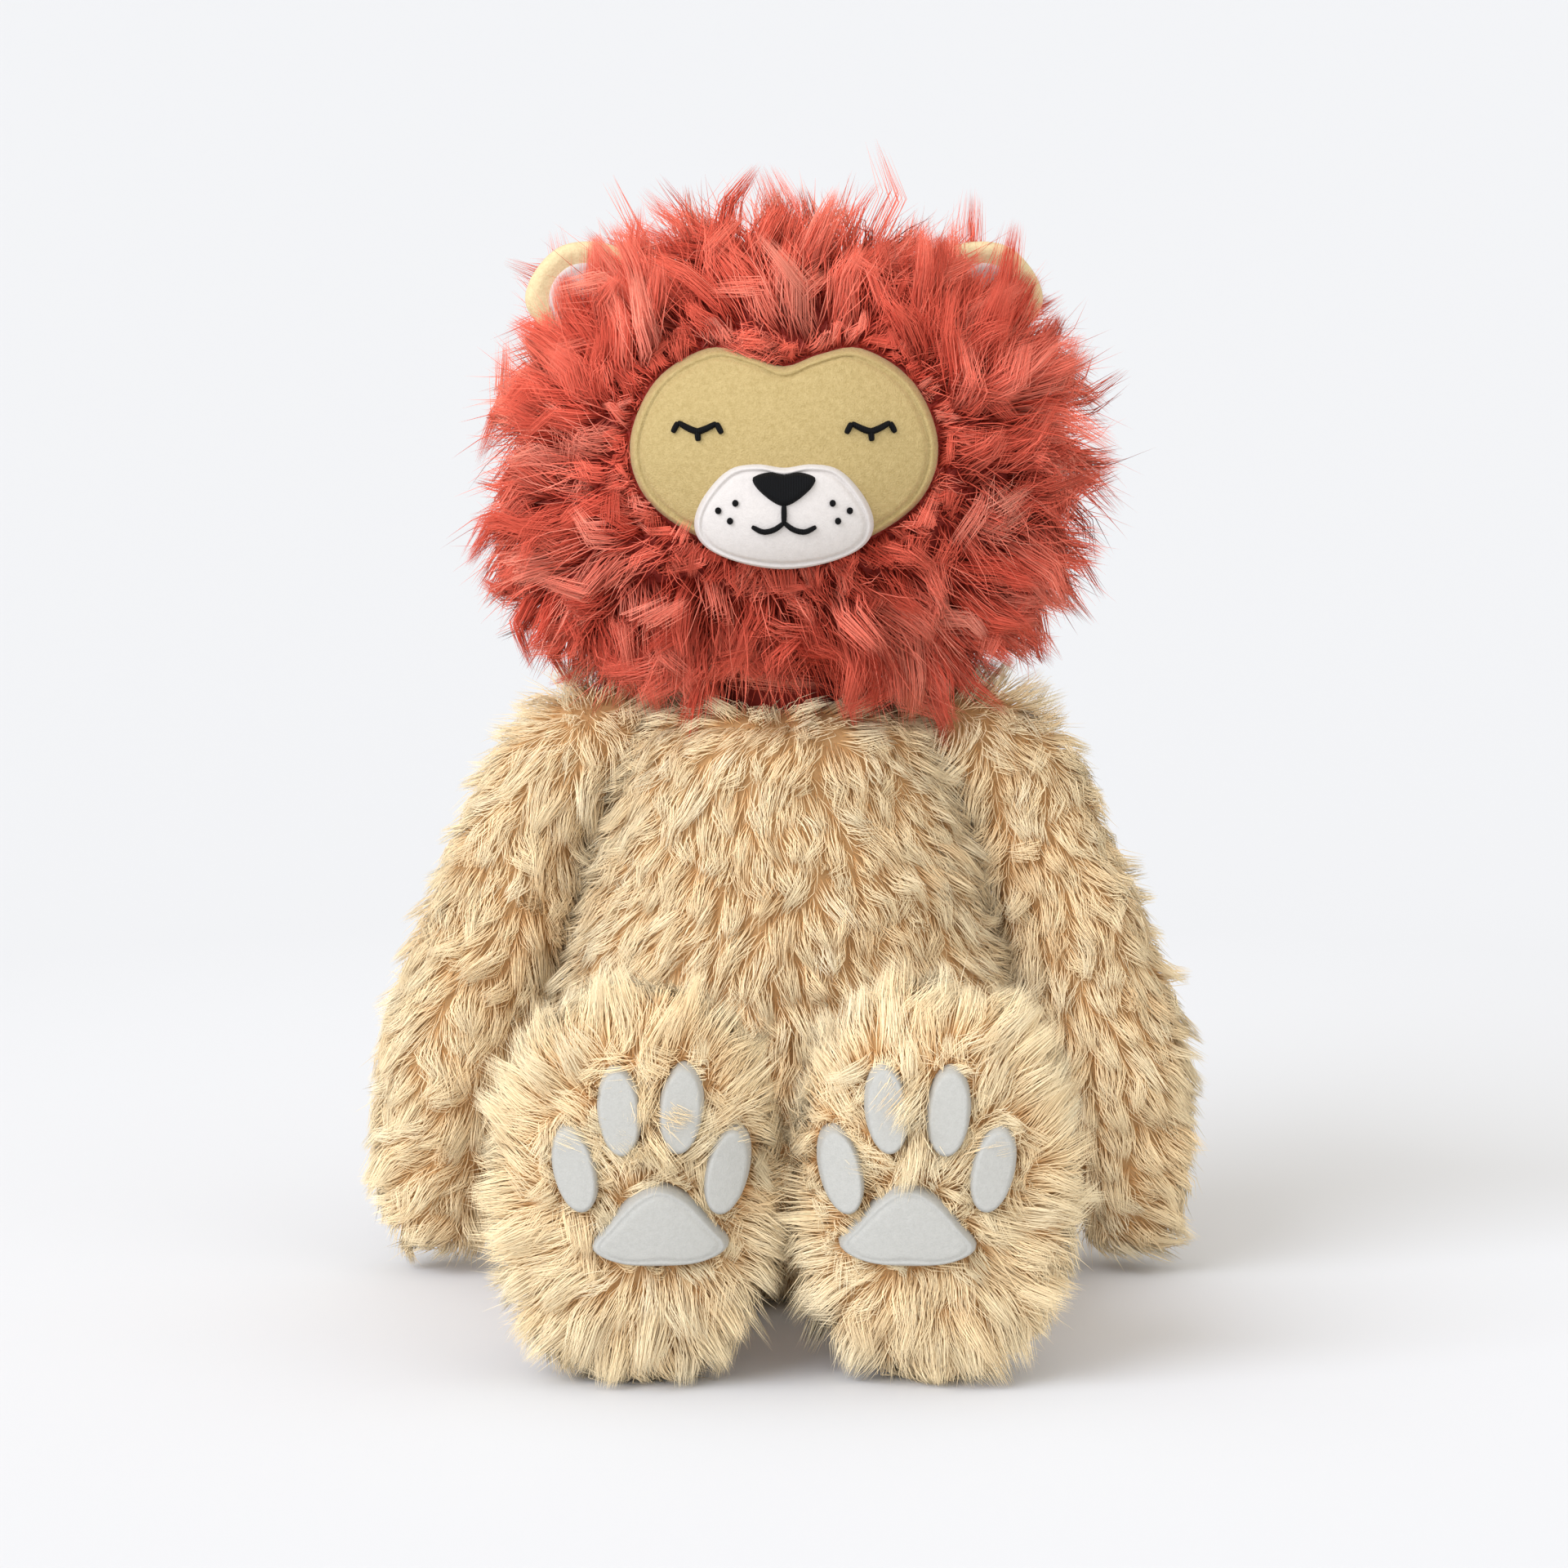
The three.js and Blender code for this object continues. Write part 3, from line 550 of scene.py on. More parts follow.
def nearest_lock(roots, coat, rng):
    """Picks evenly spread strands as the leaders of locks, and the leader that each strand follows."""
    cells = np.floor(roots / coat.lock_size + rng.random(3)).astype(int)
    leaders = np.unique(cells, axis=0, return_index=True)[1]
    leaders = leaders[rng.random(len(leaders)) < 0.75]
    tree = kdtree.KDTree(len(leaders))
    for i, leader in enumerate(leaders):
        tree.insert(roots[leader], i)
    tree.balance()
    follows = np.array([tree.find(root)[1] for root in roots])
    return leaders, follows


def strands(surface, coat, per_mm2, flow, keep, seed):
    """The lines of all strands of a coat, their shades and a sideways way for each."""
    rng = np.random.default_rng(seed)
    roots, normals = scattered(surface, per_mm2, rng)
    stay = rng.random(len(roots)) < keep(roots, normals)
    roots, normals = roots[stay], normals[stay]
    start, end, length = flow(roots, normals)
    count = len(roots)
    leaders, follows = nearest_lock(roots, coat, rng)
    locks = len(leaders)
    share = np.linspace(0, 1, coat.rings + 1)[None, :, None]
    own_start = unit(start + rng.normal(0, coat.spread, (count, 3)))
    own_end = unit(end + rng.normal(0, coat.spread, (count, 3)))
    own_length = (length * rng.uniform(coat.shortest, 1, count))[:, None, None]
    steps = share * own_start[:, None] + share**2 / 2 * (own_end - own_start)[:, None]
    own = roots[:, None] + own_length * steps
    lock_start = unit(start[leaders] + rng.normal(0, coat.lock_spread, (locks, 3)))
    lock_end = unit(end[leaders] + rng.normal(0, coat.lock_spread, (locks, 3)))
    lock_length = (length[leaders] * rng.uniform(0.7, 1.25, locks))[:, None, None]
    steps = share * lock_start[:, None] + share**2 / 2 * (lock_end - lock_start)[:, None]
    lock = roots[leaders][:, None] + lock_length * steps
    one_side = unit(np.cross(lock_start, normals[leaders]) + rng.normal(0, 0.3, (locks, 3)))
    other_side = unit(np.cross(lock_start, one_side))
    phase = (rng.random(locks) * 2 * math.pi)[:, None, None]
    twist = phase + 2 * math.pi * coat.turns * share * rng.choice([-1, 1], locks)[:, None, None]
    curl = (coat.curl * rng.uniform(0.3, 1.2, locks))[:, None, None] * share
    lock = lock + curl * (np.sin(twist) * one_side[:, None] + np.cos(twist) * other_side[:, None])
    pull = coat.pull * rng.uniform(0.75, 1, count) * (rng.random(count) > coat.stray)
    pull = pull[:, None, None] * share**coat.gather
    line = own * (1 - pull) + lock[follows] * pull
    line[:, :, 2] = np.maximum(line[:, :, 2], floor_gap)
    lock_shade = rng.normal(0, 1, locks)[follows]
    shade = 0.5 + coat.mottle * (0.13 * lock_shade + 0.06 * rng.normal(0, 1, count))
    off_middle = (roots - roots[leaders][follows]) / coat.lock_size
    tilt = coat.tilt * rng.normal(0, 1, (locks, 3))[follows]
    return SimpleNamespace(
        line=line, shade=np.clip(shade, 0.03, 0.93), side=unit(np.cross(start, normals)),
        facing=unit(normals + coat.rounding * off_middle + tilt + np.array(coat.lit)),
    )


def everywhere(roots, normals):
    return np.ones(len(roots))


def split_at(seam_y, keep):
    """What a coat keeps in front of a seam, and what it keeps behind it."""
    in_front = lambda roots, normals: keep(roots, normals) * (roots[:, 1] < seam_y)
    behind = lambda roots, normals: keep(roots, normals) * (roots[:, 1] >= seam_y)
    return in_front, behind


def joined(furs):
    """Several growths of fur as one."""
    names = vars(furs[0])
    return SimpleNamespace(**{name: np.concatenate([getattr(fur, name) for fur in furs]) for name in names})


def add_fur(name, fur, coat, material, body, slot, replaced=(), chosen=slice(None)):
    """Makes one piece of the chosen strands: each is a closed spike with three sides."""
    line = fur.line[chosen]
    count, rings = len(line), coat.rings
    ways = unit(np.gradient(line, axis=1))
    side = unit(fur.side[chosen] + 1e-4)[:, None]
    side = unit(np.cross(ways, np.broadcast_to(side, ways.shape)))
    up = np.cross(ways, side)
    shares = np.linspace(0, 1, rings + 1)
    radius = coat.width / 2 * (1 - shares[:-1] ** 1.5) * np.where(shares[:-1] == 0, 0.8, 1)
    turn = np.arange(3) * 2 * math.pi / 3
    around = np.cos(turn)[:, None] * side[:, :-1, None] + np.sin(turn)[:, None] * up[:, :-1, None]
    rim = line[:, :-1, None] + around * radius[None, :, None, None]
    points = np.concatenate([rim.reshape(count, -1, 3), line[:, -1:]], 1)
    per = 3 * rings + 1
    corners, across, height = [], [], []
    for r in range(rings):
        for j in range(3):
            k = (j + 1) % 3
            if r < rings - 1:
                corners.append([3 * r + j, 3 * r + k, 3 * r + 3 + k, 3 * r + 3 + j])
                across += [j, j + 1, j + 1, j]
                height += [shares[r], shares[r], shares[r + 1], shares[r + 1]]
            else:
                corners.append([3 * r + j, 3 * r + k, 3 * rings])
                across += [j, j + 1, j + 0.5]
                height += [shares[r], shares[r], 1]
    corners.append([2, 1, 0])
    across += [2, 1, 0]
    height += [0, 0.02, 0]
    sizes = np.tile([len(c) for c in corners], count)
    pattern = np.concatenate(corners)
    loops = (pattern[None] + per * np.arange(count)[:, None]).ravel()
    mesh = bpy.data.meshes.new(name)
    mesh.vertices.add(count * per)
    mesh.vertices.foreach_set("co", (points * mm).astype(np.float32).ravel())
    mesh.loops.add(len(loops))
    mesh.loops.foreach_set("vertex_index", loops.astype(np.int32))
    mesh.polygons.add(len(sizes))
    starts = np.concatenate([[0], np.cumsum(sizes)[:-1]])
    mesh.polygons.foreach_set("loop_start", starts.astype(np.int32))
    mesh.update(calc_edges=True)
    uv = mesh.uv_layers.new(name=bake_map)
    u = fur.shade[chosen][:, None] + np.array(across)[None] * 0.006
    v = np.broadcast_to(np.array(height) * 0.98 + 0.01, u.shape)
    uv.data.foreach_set("uv", np.stack([u, v], -1).astype(np.float32).ravel())
    mesh.shade_smooth()
    own = np.concatenate([around.reshape(count, -1, 3), ways[:, -1:]], 1)
    facing = unit(own * coat.crisp + fur.facing[chosen][:, None] * (1 - coat.crisp))
    mesh.normals_split_custom_set_from_vertices(facing.reshape(-1, 3).astype(np.float32))
    wear(bpy.data.objects.new(name, mesh), material, body, replaced)


def coat(**values):
    """A kind of fur: how its strands are made, how they gather into locks and how they take the light."""
    usual = dict(width=0.35, rings=2, lock_size=6.5, pull=0.72, gather=1.1, curl=2.6, turns=0.7, crisp=0.35,
                 spread=0.22, lock_spread=0.5, shortest=0.6, stray=0.1, mottle=1, rounding=1.3, tilt=0.15,
                 lit=(0, -0.15, 0.1))
    return SimpleNamespace(**{**usual, **values})


body_coat = coat()
back_coat = coat(width=0.5)
foot_coat = coat(width=0.34, lock_size=7.5, curl=3, pull=0.66, lock_spread=0.46, lit=(0, -0.2, 0.1))
mane_lit = (-0.25, -0.6, -0.1)
mane_coat = coat(width=0.42, rings=3, lock_size=9.5, pull=0.9, gather=0.6, curl=6.5, turns=1, stray=0.15,
                 spread=0.32, lock_spread=0.85, shortest=0.45, rounding=2, lit=mane_lit, mottle=1.05,
                 tilt=0.45)
ear_lock_coat = coat(rings=3, lock_size=9, pull=0.88, gather=0.7, curl=5, turns=1, spread=0.3, rounding=2,
                     lit=mane_lit, tilt=0.45)
arm_coat = coat(lit=(0, -0.5, 0.4), lock_spread=0.6)
mane_back_coat = coat(width=0.66, rings=3, lock_size=7, pull=0.88, gather=0.55, curl=4.5,
                      spread=0.28, lock_spread=0.6, shortest=0.5, rounding=1.2)


# Materials


def new_material(name):
    material = bpy.data.materials.new(name)
    material.use_nodes = True
    nodes = material.node_tree.nodes
    return material, nodes, material.node_tree.links, nodes["Principled BSDF"]


def math_node(nodes, kind, *values):
    """A node of sums whose inputs are numbers, or None where a link goes."""
    node = nodes.new("ShaderNodeMath")
    node.operation = kind
    for place, value in zip(node.inputs, values):
        if value is not None:
            place.default_value = value
    return node


def noise_node(nodes, links, vector, scale, detail):
    noise = nodes.new("ShaderNodeTexNoise")
    noise.inputs["Scale"].default_value = scale
    noise.inputs["Detail"].default_value = detail
    links.new(vector, noise.inputs["Vector"])
    return noise


def raise_grain(nodes, links, shader, height, strength, distance):
    relief = nodes.new("ShaderNodeBump")
    relief.inputs["Strength"].default_value = strength
    relief.inputs["Distance"].default_value = distance
    links.new(height, relief.inputs["Height"])
    links.new(relief.outputs["Normal"], shader.inputs["Normal"])


def set_inputs(shader, values):
    for name, value in values.items():
        shader.inputs[name].default_value = value


def ramp_node(nodes, stops):
    ramp = nodes.new("ShaderNodeValToRGB")
    places = ramp.color_ramp.elements
    while len(places) < len(stops):
        places.new(0.5)
    for place, (at, colour) in zip(places, stops):
        place.position = at
        place.color = linear(colour)
    return ramp


def fur_finish(name, dark, mid, light, painted_root_shade):
    """Fur whose tone comes with each strand at random, multiplied by painted shade that deepens towards its
    root, where the strands shadow each other.
    """
    material, nodes, links, shader = new_material(name)
    place = nodes.new("ShaderNodeUVMap")
    place.uv_map = bake_map
    split = nodes.new("ShaderNodeSeparateXYZ")
    links.new(place.outputs["UV"], split.inputs[0])
    shade = ramp_node(nodes, [(0.05, dark), (0.5, mid), (0.95, light)])
    links.new(split.outputs["X"], shade.inputs["Fac"])
    # Painted shade: the root of each strand is tinted darker for the shadow deep between the strands, fading
    # out towards its tip.
    painted_middle_shade = tuple((c + 3 * 255) // 4 for c in painted_root_shade)
    depth = ramp_node(nodes, [(0.02, painted_root_shade), (0.3, painted_middle_shade), (0.7, (255, 255, 255))])
    links.new(split.outputs["Y"], depth.inputs["Fac"])
    mix = nodes.new("ShaderNodeMix")
    mix.data_type = "RGBA"
    mix.blend_type = "MULTIPLY"
    mix.inputs["Factor"].default_value = 1
    links.new(shade.outputs["Color"], mix.inputs["A"])
    links.new(depth.outputs["Color"], mix.inputs["B"])
    links.new(mix.outputs["Result"], shader.inputs["Base Color"])
    set_inputs(shader, {"Roughness": 0.62, "Specular IOR Level": 0})
    return material


def cloth_finish(name, dark, light, grain, bump):
    """Short-pile or woven cloth: a soft mottle, with a fine grain raised out of it."""
    material, nodes, links, shader = new_material(name)
    place = nodes.new("ShaderNodeTexCoord").outputs["Object"]
    mottle = noise_node(nodes, links, place, grain / 3, 4)
    fine = noise_node(nodes, links, place, grain, 3)
    blend = math_node(nodes, "MULTIPLY_ADD", None, 0.5)
    half = math_node(nodes, "MULTIPLY", None, 0.5)
    links.new(mottle.outputs["Fac"], blend.inputs[0])
    links.new(fine.outputs["Fac"], half.inputs[0])
    links.new(half.outputs[0], blend.inputs[2])
    shade = ramp_node(nodes, [(0.36, dark), (0.62, light)])
    links.new(blend.outputs[0], shade.inputs["Fac"])
    links.new(shade.outputs["Color"], shader.inputs["Base Color"])
    raise_grain(nodes, links, shader, fine.outputs["Fac"], bump, 0.0004)
    set_inputs(shader, {
        "Roughness": 0.85, "Specular IOR Level": 0.2, "Sheen Weight": 0.1, "Sheen Roughness": 0.35,
    })
    return material


def thread_finish(name, colour, pitch, way):
    """Satin stitch: threads side by side, each raised so that it catches the light, and painted a little
    lighter along its crest as a painted highlight.
    """
    material, nodes, links, shader = new_material(name)
    place = nodes.new("ShaderNodeTexCoord").outputs["Object"]
    threads = nodes.new("ShaderNodeTexWave")
    threads.bands_direction = way
    threads.inputs["Scale"].default_value = math.pi / (10 * pitch * mm)
    threads.inputs["Distortion"].default_value = 1.2
    threads.inputs["Detail"].default_value = 2
    links.new(place, threads.inputs["Vector"])
    # Painted highlight: the crest of each thread is painted a little lighter than the thread.
    shade = ramp_node(nodes, [(0.1, colour), (0.95, shifted(colour, 14))])
    links.new(threads.outputs["Fac"], shade.inputs["Fac"])
    links.new(shade.outputs["Color"], shader.inputs["Base Color"])
    raise_grain(nodes, links, shader, threads.outputs["Fac"], 0.7, 0.0003)
    set_inputs(shader, {"Roughness": 0.7, "Specular IOR Level": 0.12})
    return material


def shifted(colour, by):
    return tuple(max(0, min(255, c + by)) for c in colour)


# The last colour of each fur is painted shade at the roots of its strands.
body_fur = fur_finish("body_fur", body_dark, body_mid, body_light, (212, 176, 140))
mane_fur = fur_finish("mane_fur", mane_dark, mane_mid, mane_light, (114, 54, 46))
# The backing cloths: real cloth under the fur, coloured as painted shade for the shadow deep in the pile,
# with a random mottle.
body_backing_with_painted_shade = cloth_finish("body_backing_with_painted_shade", shifted(body_painted_pile_shade, -14), body_painted_pile_shade, weave_grain, 0.4)
mane_backing_with_painted_shade = cloth_finish("mane_backing_with_painted_shade", shifted(mane_painted_pile_shade, -14), mane_painted_pile_shade, weave_grain, 0.4)
face_velour = cloth_finish("face_velour", shifted(face_tan, -9), shifted(face_tan, 9), velour_grain, 0.8)
ear_velour = cloth_finish("ear_velour", shifted(ear_cream, -14), shifted(ear_cream, 4), velour_grain, 0.5)
muzzle_velour = cloth_finish("muzzle_velour", shifted(muzzle_white, -8), muzzle_white, velour_grain, 0.4)
pad_velour = cloth_finish("pad_velour", shifted(pad_white, -8), pad_white, velour_grain, 0.4)
nose_thread = thread_finish("nose_thread", thread_black, 0.45, "X")
line_thread = thread_finish("line_thread", thread_black, 0.4, "X")


# Head


def ear_frame(way):
    lean = Matrix.Rotation(way * ear_lean, 4, "Y")
    return Matrix.Translation((way * ear_root[0], ear_root[1], ear_root[2])) @ lean


def from_neck(roots):
    return np.linalg.norm(roots - np.array([0, 0, neck_z]), axis=1)


def mane_flow(roots, normals):
    """Out from the face in front, standing out at the rim, and down at the back."""
    x, y, z = roots.T
    up = z - face_middle[1]
    spread = np.stack([x, np.full_like(x, 12), up], 1)
    fall = np.stack([0.25 * x / 70, np.zeros_like(x), np.full_like(x, -1)], 1)
    front = soft_step(-y, -25, 15)[:, None]
    way = along(unit(spread) * front + unit(fall) * (1 - front) + 0.8 * swirl(roots, 50), normals)
    away = np.clip(reach_in(face_outline(), x, z) - 1, 0, 2) * 42
    away = np.where(y < 0, away, 40)
    close = soft_step(away, 0, 18)[:, None]
    start = unit(normals + way * (-0.25 + 0.95 * close))
    low = soft_step(-z, -215, -190)
    high = soft_step(z, 265, 290)
    down = 0.1 + 0.3 * low + 0.5 * low * soft_step(np.abs(x), 30, 55) - 0.5 * high
    hang = np.outer(down, (0, 0, -1)) + np.outer(low, (0, -0.4, 0))
    end = unit(normals * (0.25 + 0.2 * close) + way + hang)
    by_ear = soft_step(np.abs(x), 30, 45) * soft_step(z, 268, 280) * soft_step(-y, 8, 14)
    wide = soft_step(np.abs(x), 40, 75) + soft_step(x, 40, 75)
    tucked = (15 * soft_step(-x, 35, 65) + 17 * soft_step(x, 30, 60)) * soft_step(-z, -225, -195)
    wisps = 10 * soft_step(x, 50, 75) * soft_step(z, 225, 240) * soft_step(-z, -290, -270)
    length = pile.mane + 12 * close[:, 0] + 4 * wide + 7 * low + 6 * high + 8 * by_ear + wisps - tucked
    return start, end, length


def mane_keep(roots, normals):
    x, y, z = roots.T
    stay = np.ones(len(roots))
    on_face = (y < 0) & (reach_in(face_outline(0.1), x, z) < 1)
    stay[on_face] = 0
    stay[from_neck(roots) < neck_radius + 1] = 0
    for way in sides.values():
        turned = ear_frame(way).inverted()
        local = roots @ np.array(turned.to_3x3()).T + np.array(turned.translation)
        under_ear = (np.abs(local[:, 0]) < ear_half_width) & (np.abs(local[:, 1]) < 6) & (local[:, 2] > -20)
        stay[under_ear] = 0
    return stay


def rim_flow(roots, normals):
    """Short strands close to the rim of the face that bend away from it."""
    x, y, z = roots.T
    spread = np.stack([x, np.zeros_like(x), z - face_middle[1]], 1)
    way = along(unit(spread) + 0.3 * swirl(roots, 30), normals)
    return unit(normals + 0.5 * way), unit(normals * 0.5 + way), np.full(len(x), pile.face_rim)


def rim_keep(roots, normals):
    x, y, z = roots.T
    near = (reach_in(face_outline(0), x, z) >= 1) & (reach_in(face_outline(3.5), x, z) < 1)
    return ((y < 0) & near).astype(float)


def beard_keep(roots, normals):
    """More strands under the chin, down to the neck."""
    x, y, z = roots.T
    off_neck = from_neck(roots) > neck_radius - 3
    return (off_neck & (z < 200) & (y < -8)).astype(float)


def ear_lock_flow(roots, normals):
    """Long locks that rise in front of the ears."""
    x, y, z = roots.T
    lean = 0.1 + 0.9 * soft_step(np.abs(x), 47, 62)
    way = unit(np.stack([np.sign(x) * lean, np.full_like(x, -0.2), np.ones_like(x)], 1))
    way = unit(way + 0.35 * swirl(roots, 40))
    return unit(normals * 0.5 + way), way, pile.ear_locks + 5 * (x > 0)


def ear_lock_keep(roots, normals):
    x, y, z = roots.T
    near = np.hypot(np.abs(x) - 54, z - 273) < 19
    return (near & (y < -17) & (y > -42)).astype(float)


def add_head():
    bm = stuffed_ball((0, 0, head_centre_z), skull_half, 2)
    for v in bm.verts:
        low = max(0, (head_centre_z - v.co.z) / skull_half[2])
        round_x = math.sqrt(max(1 - low**2, 0)) + 1e-3
        square_x = (1 - min(low, 1) ** jowl_power) ** (1 / jowl_power) + 1e-3
        v.co.x *= square_x / round_x * (1 + jowl_share * low**2)
        v.co.z -= chin_drop * low**4
    surface = surface_of(bm)
    add_form("head_form", bm, mane_backing_with_painted_shade, "head", ["head_stuffing"])
    in_front, behind = split_at(head_seam_y, mane_keep)
    fur = joined([
        strands(surface, mane_coat, dense.mane, mane_flow, in_front, 11),
        strands(surface, mane_coat, dense.face_rim, rim_flow, rim_keep, 12),
        strands(surface, ear_lock_coat, dense.ear_locks, ear_lock_flow, ear_lock_keep, 13),
        strands(surface, mane_coat, dense.beard, mane_flow, beard_keep, 15),
    ])
    x, z = fur.line[:, 0, 0], fur.line[:, 0, 2]
    upper = z > face_widest_z
    parts = [
        ("mane_upper_left_fur", upper & (x < 0), ["head_front_panel"]),
        ("mane_upper_right_fur", upper & (x >= 0), ()),
        ("mane_lower_left_fur", ~upper & (x < 0), ()),
        ("mane_lower_right_fur", ~upper & (x >= 0), ()),
    ]
    for name, chosen, replaced in parts:
        add_fur(name, fur, mane_coat, mane_fur, "head", "mane_fur", replaced, chosen)
    fur = strands(surface, mane_back_coat, dense.mane_back, mane_flow, behind, 14)
    add_fur("mane_back_fur", fur, mane_back_coat, mane_fur, "head", "mane_fur", ["head_back_panel"])


def stitched_line(points, surface, width):
    """A satin-stitched line over a surface, as a form with blunt ends."""
    flat = smooth_line(points, 40) if len(points) > 2 else np.linspace(points[0], points[1], 24)
    y = surface(flat[:, 0], flat[:, 1])
    line = np.stack([flat[:, 0], y, flat[:, 1]], 1)
    ways = unit(np.gradient(line, axis=0))
    across = unit(np.cross(ways, np.array([0, -1, 0])))
    return stuffed_limb(line, across, [width / 2] * 2, [stitch_height] * 2, blunt=0.3, segments=12, rings=24)


def join_forms(forms):
    whole = forms[0]
    for form in forms[1:]:
        mesh = bpy.data.meshes.new("part")
        form.to_mesh(mesh)
        form.free()
        whole.from_mesh(mesh)
        bpy.data.meshes.remove(mesh)
    return whole


def add_face():
    bm = flat_pad(
        face_outline(), lambda x, z: head_front(x, z, -0.5), lambda x, z: head_front(x, z, face_thickness),
        edge=2.4, groove=2.8, groove_depth=1.3, rings=40, closeness=2,
    )
    add_form("face_panel", bm, face_velour, "head", ["face_patch"])
    bm = flat_pad(
        muzzle_outline(), lambda x, z: head_front(x, z, face_thickness - 1.5),
        lambda x, z: muzzle_front(x, z, 0), edge=1.6, groove=2.3, groove_depth=1, rings=40, closeness=2,
    )
    add_form("muzzle_panel", bm, muzzle_velour, "head", ["muzzle_patch"])


def add_stitching():
    surface = lambda x, z: muzzle_front(x, z, 0.3)
    bm = flat_pad(
        nose_outline(), lambda x, z: surface(x, z) + 1, lambda x, z: surface(x, z) - nose_height,
        edge=2, rings=12,
    )
    add_form("nose_stitching", bm, nose_thread, "head", ["nose"])
    middle = [(0, nose_bottom_z + 0.5), (0, mouth_top_z - 0.2)]
    lips = [stitched_line(middle, surface, mouth_stroke_width)]
    for way in sides.values():
        lips.append(stitched_line([
            (0, mouth_top_z),
            (way * mouth_half_width * 0.3, mouth_top_z - mouth_dip * 0.75),
            (way * mouth_half_width * 0.65, mouth_top_z - mouth_dip),
            (way * mouth_half_width, mouth_top_z - mouth_dip * 0.45),
        ], surface, mouth_stroke_width))
    add_form("mouth_stitching", join_forms(lips), line_thread, "head", ["mouth"])
    for name, way in sides.items():
        for i, (x, z) in enumerate(freckle_spots):
            spot = (way * x, muzzle_front(way * x, z, 0.6), z)
            half = (freckle_radius, freckle_height, freckle_radius * 1.1)
            knot = stuffed_ball(spot, half, 2, segments=12, rings=8)
            add_form(f"{name}_whisker_knot_{i + 1}", knot, line_thread, "head",
                     [f"{name}_whisker_dot_{i + 1}"])
        on_face = lambda x, z: head_front(x, z, face_thickness + 0.3)
        across = np.linspace(-1, 1, 9)
        lid = [(way * eye_x + eye_half_width * a, eye_z + eye_sag * abs(a) ** 1.4) for a in across]
        lines = [stitched_line(lid, on_face, lid_width)]
        for x, z, lean in [(-eye_half_width, eye_sag, -1.5), (0, 0.2, 0.3), (eye_half_width, eye_sag, 1.5)]:
            start = (way * eye_x + x, eye_z + z)
            tip = (start[0] + lean, start[1] - lash_length * 0.85)
            lines.append(stitched_line([start, tip], on_face, lash_width))
        add_form(f"{name}_eye_stitching", join_forms(lines), line_thread, "head", [f"{name}_eye"])


def add_ears():
    for name, way in sides.items():
        half = ear_thickness / 2
        dish = lambda x, z: -half + 2.2 * math.exp(-((x / 9) ** 2 + ((z - 14) / 9) ** 2))
        bm = flat_pad(ear_outline(0), lambda x, z: half * 0.2, dish, edge=4, closeness=1.5)
        for v in bm.verts:
            if v.co.y >= half * 0.2 - 1e-4:
                inner = 1 - min(reach_in(ear_outline(0), v.co.x, v.co.z), 1)
                v.co.y += half * 0.8 * math.sqrt(min(inner * 3, 1))
            if v.co.z < 3:
                v.co.z -= 8 * (1 - v.co.z / 3) if abs(v.co.x) < ear_half_width * 0.7 else 0
        bmesh.ops.transform(bm, matrix=ear_frame(way), verts=bm.verts)
        add_form(f"{name}_ear_shell", bm, ear_velour, f"{name}_ear", [f"{name}_ear"])
        bm = flat_pad(ear_outline(ear_lining_inset), lambda x, z: dish(x, z) + 0.6,
                      lambda x, z: dish(x, z) - 0.9, edge=2, rings=12)
        bmesh.ops.transform(bm, matrix=ear_frame(way), verts=bm.verts)
        add_form(f"{name}_ear_inner", bm, muzzle_velour, f"{name}_ear",
                 [f"{name}_ear_lining"])


# Body


def torso_flow(roots, normals):
    x = roots[:, 0]
    y, z = roots[:, 1], roots[:, 2]
    way = np.stack([0.5 * x / 60, np.zeros_like(x), np.full_like(x, -1)], 1)
    outward = np.stack([x, y, np.zeros_like(x)], 1)
    under_chin = soft_step(-y, 5, 25) * soft_step(-np.abs(x), -50, -30)
    top = (soft_step(z, 158, 168) * (1 - 0.8 * under_chin))[:, None]
    side = soft_step(np.abs(normals[:, 0]), 0.7, 0.95)[:, None]
    way = along(way * (1 - top) + unit(outward) * top + 0.45 * swirl(roots, 60), normals)
    start = unit(normals * (0.7 + 0.8 * top + 0.3 * side) + way * 0.8)
    end = unit(normals * (0.04 + 0.9 * top + 0.3 * side) + way)
    return start, end, np.full(len(x), pile.torso)


def torso_keep(roots, normals):
    x, y, z = roots.T
    stay = (z > 2).astype(float)
    stay[from_neck(roots) < neck_radius + 1] = 0
    stay[(np.abs(x) > leg_inner_x + 4) & (np.hypot(y - hip_y, z - leg_radius) < leg_radius - 6)] = 0
    return stay


def add_torso():
    bm = torso_shape()
    surface = surface_of(bm)
    add_form("torso_form", bm, body_backing_with_painted_shade, "torso", ["torso_stuffing"])
    neck = stuffed_ball((0, 0, neck_z), [neck_radius - 3] * 3, 2, 32, 20)
    add_form("neck_form", neck, mane_backing_with_painted_shade, "neck", ["neck_stuffing"])
    in_front, behind = split_at(torso_seam_y, torso_keep)
    fur = strands(surface, body_coat, dense.torso, torso_flow, in_front, 41)
    add_fur("torso_front_fur", fur, body_coat, body_fur, "torso", "body_fur", ["torso_front_panel"])
    fur = strands(surface, back_coat, dense.torso_back, torso_flow, behind, 42)
    add_fur("torso_back_fur", fur, back_coat, body_fur, "torso", "body_fur", ["torso_back_panel"])


